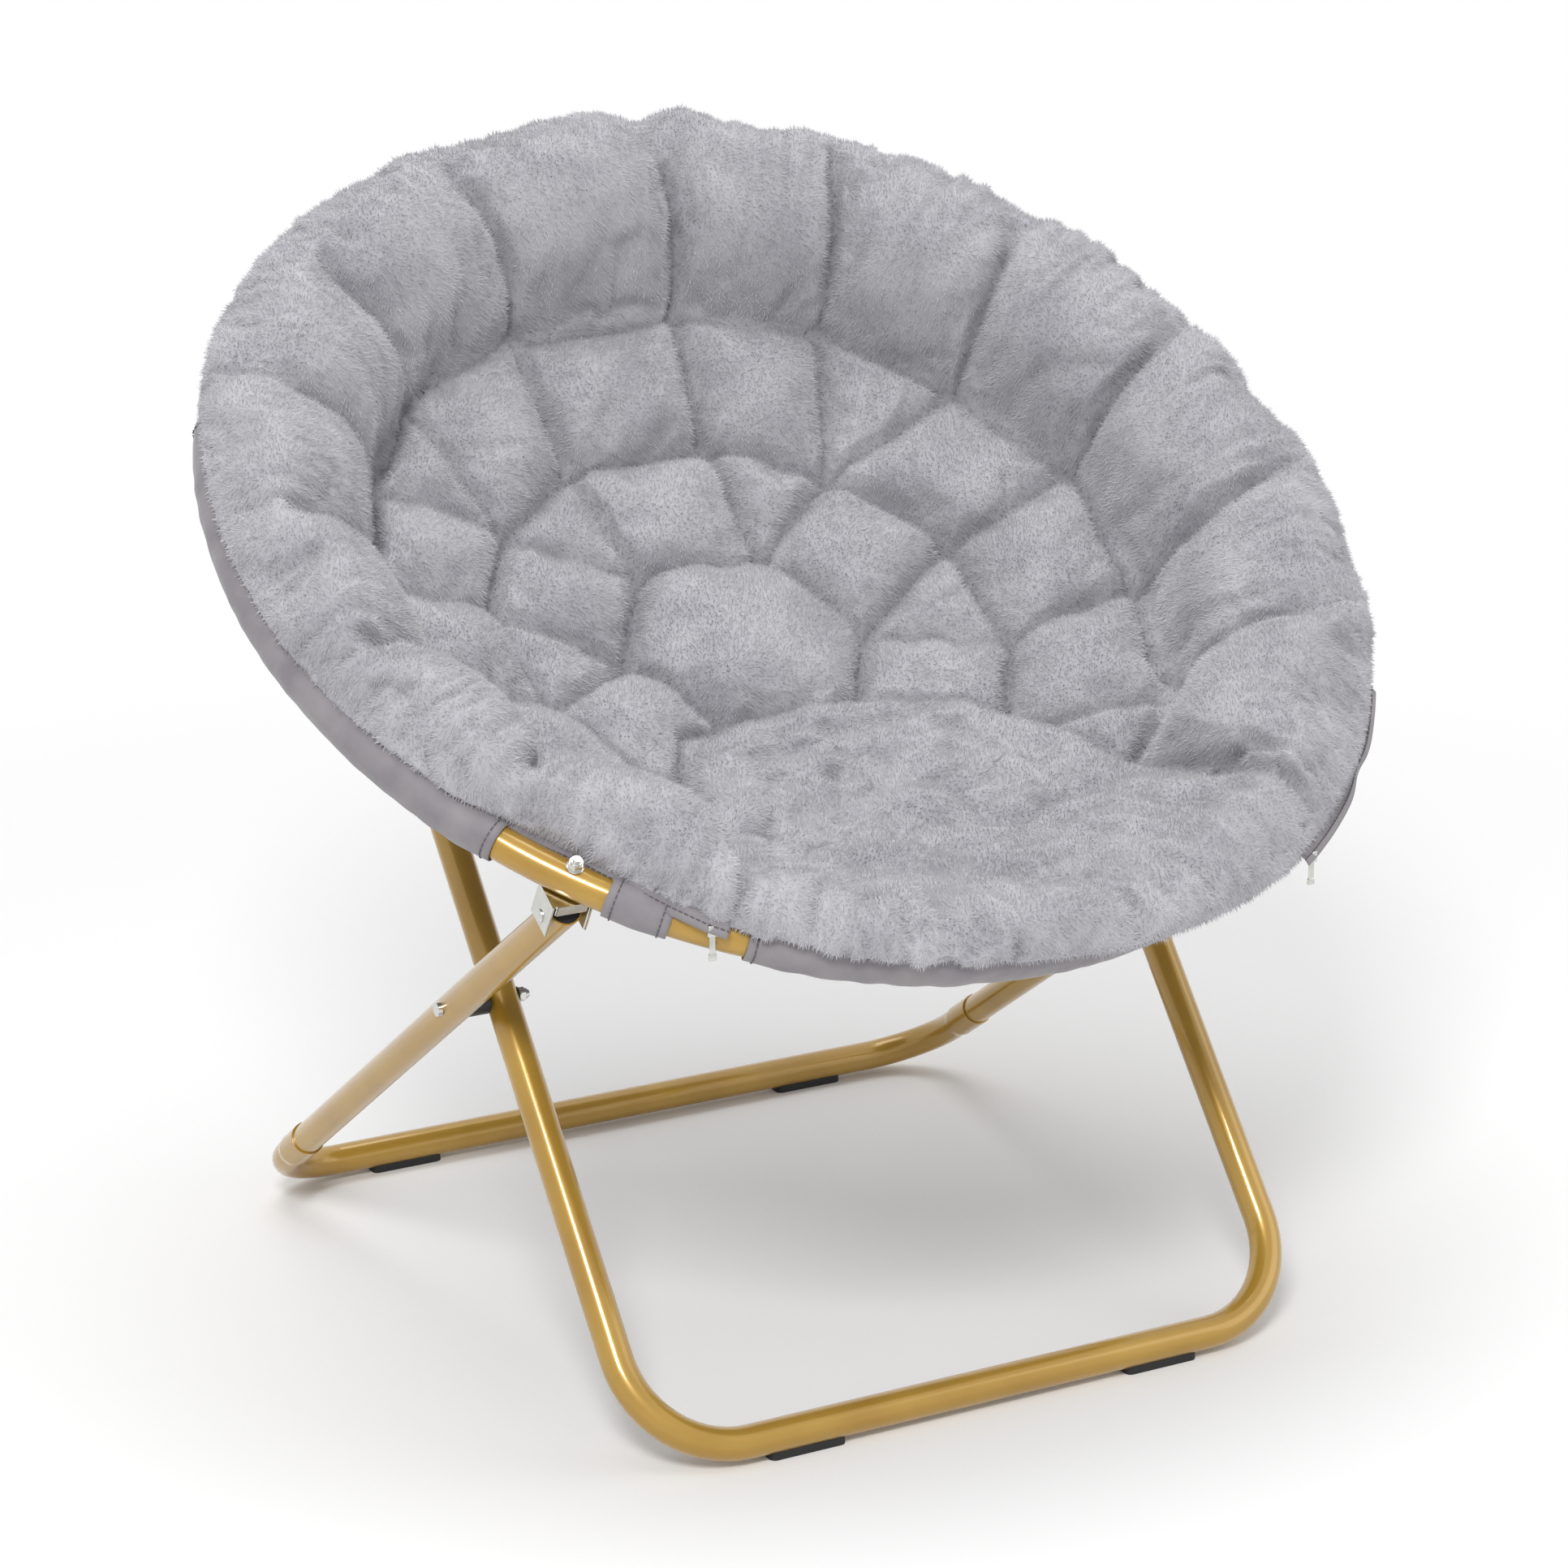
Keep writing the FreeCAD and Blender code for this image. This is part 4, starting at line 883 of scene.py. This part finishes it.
def build_sleeves():
    """Cloth sleeves and strap loops on the ring's tube."""
    before, after = REAR_BRACKET_ANGLE - BRACKET_BARE, REAR_BRACKET_ANGLE + BRACKET_BARE
    # Name, start and end in degrees, slack, sag, seed, body and CAD node.
    rows = (
        ("sleeve_right", 53, 112.4, 0.006, 0, 1, "ring_front", "side_sleeve_right"),
        ("sleeve_left", -112.4, -53, 0.006, 0, 2, "ring_front", "side_sleeve_left"),
        ("sleeve_front", -29, 29, 0.006, 0.005, 3, "ring_front", "front_sleeve"),
        ("strap_right", 36, 42, 0.003, 0, 4, "ring_front", "strap_loops"),
        ("strap_left", -42, -36, 0.003, 0, 5, "ring_front", "strap_loops"),
        ("sleeve_corner_right", 121.6, before, 0.003, 0, 6, "ring_rear", "rear_corner_sleeves"),
        ("sleeve_corner_left", -before, -121.6, 0.003, 0, 7, "ring_rear", "rear_corner_sleeves"),
        ("sleeve_back", after, 360 - after, 0.006, 0, 8, "ring_rear", "rear_sleeve"),
    )
    for name, start, end, slack, sag, seed, body, node in rows:
        item, (length, girth) = cloth_tube(name, start, end, slack, sag, seed)
        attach(item, body)
        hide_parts(node)


def build_sling():
    """Cloth bowl under the cushion, with radial seams and slack wrinkles."""
    rings, turns = 60, 288
    points, uv = [], []
    for i in range(rings + 1):
        radius = SLING_RIM * max(i, 0.02) / rings
        for j in range(turns):
            angle = 2 * math.pi * j / turns
            x, s = radius * math.sin(angle), -radius * math.cos(angle)
            seam = abs((angle / (math.pi / 4)) % 1 - 0.5) * math.pi / 4 * radius
            dip = 0.0015 * math.exp(-(seam / 0.004) ** 2)
            w = float(sling_height(np.array(radius))) - 0.0012 + dip
            w += 0.0012 * noise.noise(Vector((angle * 9, radius / 0.08, 3.0)))
            points.append(to_world(x, s, w))
            uv.append((x, s))
    shape = mesh_object("sling_whole", points, grid_faces(rings + 1, turns, wrap=True), uv)
    return make_cloth(shape, BOWL_CLOTH, 0.0)


def edge_at(angle):
    """Radius and height of the cushion's edge at degrees from the front."""
    return np.interp(angle, EDGE_DEGREES, EDGE_RADIUS), np.interp(angle, EDGE_DEGREES, EDGE_HEIGHT)


def build_binding(name, start, end):
    """Cloth hem that binds the cushion's edge beside a front bracket."""
    rows, points, uv, seam = 90, [], [], []
    length = math.radians(abs(end - start)) * RING_RADIUS
    for i in range(rows + 1):
        angle = start + (end - start) * i / rows
        radius, height = edge_at(angle)
        wide = 0.009 - 0.004 * math.exp(-((abs(angle) - 45.7) / 2.5) ** 2)
        sway = 0.0008 * noise.noise(Vector((angle / 3.0, 0.0, 2.0)))
        section = ((-0.005, 0.0015), (0.0, 0.0012), (0.5 * wide, -0.0005), (wide, -0.0035))
        for out, rise in section:
            x, s = polar(angle, radius + out)
            points.append(to_world(x, s, height + rise + sway))
            uv.append((length * i / rows, out))
        x, s = polar(angle, radius + 0.55 * wide)
        seam.append(to_world(x, s, height + sway + 0.0004))
    item = mesh_object(name, points, grid_faces(rows + 1, 4), uv)
    make_cloth(item, BOWL_CLOTH, 0.0)
    soft_ride(item, "ring_front")
    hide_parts("cushion")
    return seam


def stitch_tree():
    """Row of lockstitches: short rounded threads along each line of the mesh."""
    tree = bpy.data.node_groups.new("stitch_row", "GeometryNodeTree")
    socket = tree.interface.new_socket
    socket("Seams", in_out="INPUT", socket_type="NodeSocketGeometry")
    sizes = (("Pitch", STITCH_PITCH), ("Stitch", STITCH_LENGTH), ("Thread", THREAD_RADIUS))
    for label, start in sizes:
        socket(label, in_out="INPUT", socket_type="NodeSocketFloat").default_value = start
    socket("Finish", in_out="INPUT", socket_type="NodeSocketMaterial")
    socket("Stitches", in_out="OUTPUT", socket_type="NodeSocketGeometry")
    given = add(tree, "NodeGroupInput")
    line = add(tree, "GeometryNodeMeshToCurve", {"Mesh": given.outputs["Seams"]})
    marks = add(tree, "GeometryNodeResampleCurve", {
        "Curve": line.outputs[0], "Length": given.outputs["Pitch"],
    }, mode="LENGTH")
    stitch = add(tree, "GeometryNodeMeshCylinder", {
        "Vertices": 6, "Side Segments": 1,
        "Radius": given.outputs["Thread"], "Depth": given.outputs["Stitch"],
    }, fill_type="TRIANGLE_FAN")
    along = add(tree, "GeometryNodeInputTangent")
    turned = add(
        tree, "FunctionNodeAlignRotationToVector", {"Vector": along.outputs[0]}, axis="Z"
    )
    rows = add(tree, "GeometryNodeInstanceOnPoints", {
        "Points": marks.outputs[0], "Instance": stitch.outputs["Mesh"],
        "Rotation": turned.outputs[0],
    })
    whole = add(tree, "GeometryNodeRealizeInstances", {"Geometry": rows.outputs[0]})
    finished = add(tree, "GeometryNodeSetMaterial", {
        "Geometry": whole.outputs[0], "Material": given.outputs["Finish"],
    })
    add(tree, "NodeGroupOutput", {"Stitches": finished.outputs[0]})
    return tree


def hem_line(angle):
    """Ring of points round the sleeve cloth at degrees from the ring's front."""
    points, around = [], 32
    for j in range(around + 1):
        turn = 2 * math.pi * j / around
        x, s = polar(angle, RING_RADIUS + (TUBE_RADIUS + HEM_CLEARANCE) * math.cos(turn))
        points.append(to_world(x, s, (TUBE_RADIUS + HEM_CLEARANCE) * math.sin(turn)))
    return points


def build_stitches(name, body, seams, tree):
    """Stitches along rows of points, as one piece on a body."""
    points, edges = [], []
    for seam in seams:
        first = len(points)
        points += seam
        edges += [(k, k + 1) for k in range(first, len(points) - 1)]
    mesh = bpy.data.meshes.new(name)
    mesh.from_pydata([tuple(p) for p in points], edges, [])
    item = put_in_scene(name, mesh)
    modifier = item.modifiers.new("stitches", "NODES")
    modifier.node_group = tree
    set_input(modifier, "Pitch", STITCH_PITCH)
    set_input(modifier, "Stitch", STITCH_LENGTH)
    set_input(modifier, "Thread", THREAD_RADIUS)
    set_input(modifier, "Finish", THREAD)
    apply_modifiers(item)
    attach(item, body)


def build_zip_end(name, side):
    """Slider and pull of the cushion's zip, hanging at the panel's corner."""
    radius, height = edge_at(33 * side)
    x, s = polar(32.5 * side, radius + 0.004)
    top = Vector(to_world(x, s, height - 0.0005))
    bm = bmesh.new()
    for size, drop in ZIP_PARTS:
        made = bmesh.ops.create_cube(bm, size=1.0)["verts"]
        bmesh.ops.scale(bm, vec=size, verts=made)
        bmesh.ops.translate(bm, vec=top - Vector((0, 0, drop)), verts=made)
    mesh = bpy.data.meshes.new(name)
    bm.to_mesh(mesh)
    bm.free()
    item = put_in_scene(name, mesh)
    rounding = item.modifiers.new("rounding", "BEVEL")
    rounding.width = 0.0006
    rounding.segments = 3
    item.data.materials.append(ZINC)
    apply_modifiers(item)
    item.data.shade_smooth()
    soft_ride(item, "ring_front")


def build_trim():
    """Bindings, hem stitches and zip ends of the seat's cloth."""
    seams = [build_binding("binding_right", 31, 57), build_binding("binding_left", -57, -31)]
    # Each hem is sewn 0.8 degrees in from the end of its sleeve.
    hem = 0.8
    for angle in (28.2, 36.8, 41.2, 53.8, HINGE_ANGLE - HINGE_BARE - hem):
        seams += [hem_line(angle), hem_line(-angle)]
    tree = stitch_tree()
    build_stitches("front_stitches", "ring_front", seams, tree)
    rear = (
        HINGE_ANGLE + HINGE_BARE + hem,
        REAR_BRACKET_ANGLE - BRACKET_BARE - hem,
        REAR_BRACKET_ANGLE + BRACKET_BARE + hem,
    )
    seams = [hem_line(angle * side) for angle in rear for side in (-1, 1)]
    build_stitches("rear_stitches", "ring_rear", seams, tree)
    build_zip_end("zip_end_right", 1)
    build_zip_end("zip_end_left", -1)


def flat_cloth(part):
    """Width and length, and area, of the cloth that a bowl half was cut from."""
    area = sum(face.area for face in part.data.polygons) / 2
    x, s, _ = ring_coordinates(vertices_of(part))
    return (float(np.ptp(x)) * CUT_ALLOWANCE, float(np.ptp(s)) * CUT_ALLOWANCE), area


# ---- studio -------------------------------------------------------------


def build_studio():
    """White studio: floor with a shadow, world light and three area lamps."""
    scene = bpy.context.scene
    scene.view_settings.view_transform = "Standard"
    corners = [(-8, -8, 0), (8, -8, 0), (8, 8, 0), (-8, 8, 0)]
    floor = mesh_object("studio_floor", corners, [(0, 1, 2, 3)], smooth=False)
    material, tree, shader = new_material("pale_studio_floor")
    shader.inputs["Base Color"].default_value = colour("F4F4F4")
    shader.inputs["Roughness"].default_value = 0.9
    # Far from the object the floor fades to the white of the backdrop.
    place = add(tree, "ShaderNodeTexCoord").outputs["Object"]
    away = add(tree, "ShaderNodeVectorMath", {0: place}, operation="LENGTH")
    fade = add(tree, "ShaderNodeMapRange", {
        "Value": away.outputs["Value"], "From Min": 0.9, "From Max": 1.9,
    }, interpolation_type="SMOOTHSTEP")
    path = add(tree, "ShaderNodeLightPath")
    seen = add(tree, "ShaderNodeMath", {
        0: path.outputs["Is Camera Ray"], 1: path.outputs["Is Glossy Ray"],
    }, operation="MAXIMUM")
    share = add(tree, "ShaderNodeMath", {
        0: fade.outputs["Result"], 1: seen.outputs[0],
    }, operation="MULTIPLY")
    white = add(tree, "ShaderNodeEmission", {"Color": (1, 1, 1, 1), "Strength": 1.0})
    mixed = add(tree, "ShaderNodeMixShader", {
        0: share.outputs[0], 1: shader.outputs[0], 2: white.outputs[0],
    })
    output = next(n for n in tree.nodes if n.type == "OUTPUT_MATERIAL")
    tree.links.new(mixed.outputs[0], output.inputs["Surface"])
    floor.data.materials.append(material)
    world = bpy.data.worlds.new("studio")
    scene.world = world
    world.use_nodes = True
    tree = world.node_tree
    tree.nodes.clear()
    path = add(tree, "ShaderNodeLightPath")
    seen = add(tree, "ShaderNodeMath", {
        0: path.outputs["Is Camera Ray"], 1: path.outputs["Is Glossy Ray"],
    }, operation="MAXIMUM")
    seen = add(tree, "ShaderNodeMath", {
        0: seen.outputs[0], 1: path.outputs["Is Transmission Ray"],
    }, operation="MAXIMUM")
    soft = add(tree, "ShaderNodeBackground", {"Color": (1, 1, 1, 1), "Strength": 0.55})
    white = add(tree, "ShaderNodeBackground", {"Color": (1, 1, 1, 1), "Strength": 1.0})
    mixed = add(tree, "ShaderNodeMixShader", {
        0: seen.outputs[0], 1: soft.outputs[0], 2: white.outputs[0],
    })
    add(tree, "ShaderNodeOutputWorld", {"Surface": mixed.outputs[0]})
    for name, place, size, power in (
        ("key", (-2.0, -2.8, 3.4), 1.1, 105),
        ("fill", (3.0, -2.2, 2.0), 2.6, 24),
        ("top", (0.0, 0.6, 3.6), 2.4, 48),
    ):
        lamp = bpy.data.lights.new(name, "AREA")
        lamp.size = size
        lamp.energy = power
        item = bpy.data.objects.new(name, lamp)
        item.location = place
        towards = Vector((0, 0, 0.5)) - Vector(place)
        item.rotation_euler = towards.to_track_quat("-Z", "Y").to_euler()
        scene.collection.objects.link(item)


def build_camera():
    """Camera of the photograph: a long lens, from the front left and above."""
    azimuth, elevation = math.radians(-28.29), math.radians(17.511)
    target = Vector((0.00703, 0.0256, 0.3965))
    back = Vector((
        math.sin(azimuth) * math.cos(elevation),
        -math.cos(azimuth) * math.cos(elevation),
        math.sin(elevation),
    ))
    camera = bpy.data.cameras.new("camera")
    camera.lens = 99.58
    camera.sensor_width = 36.0
    item = bpy.data.objects.new("camera", camera)
    item.location = target + back * 3.4226
    item.rotation_euler = back.to_track_quat("Z", "Y").to_euler()
    bpy.context.scene.collection.objects.link(item)
    bpy.context.scene.camera = item


def main():
    build_camera()
    build_studio()
    dress_frame()
    build_sleeves()
    shape = build_sling()
    for name, rear, body in (
        ("sling_front", False, "ring_front"), ("sling_back", True, "ring_rear"),
    ):
        part = halve_at_hinge(shape, name, rear)
        soft_ride(part, body)
        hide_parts("seat_sling")
        flat, area = flat_cloth(part)
    bpy.data.objects.remove(shape)
    build_cushion()
    build_trim()


main()
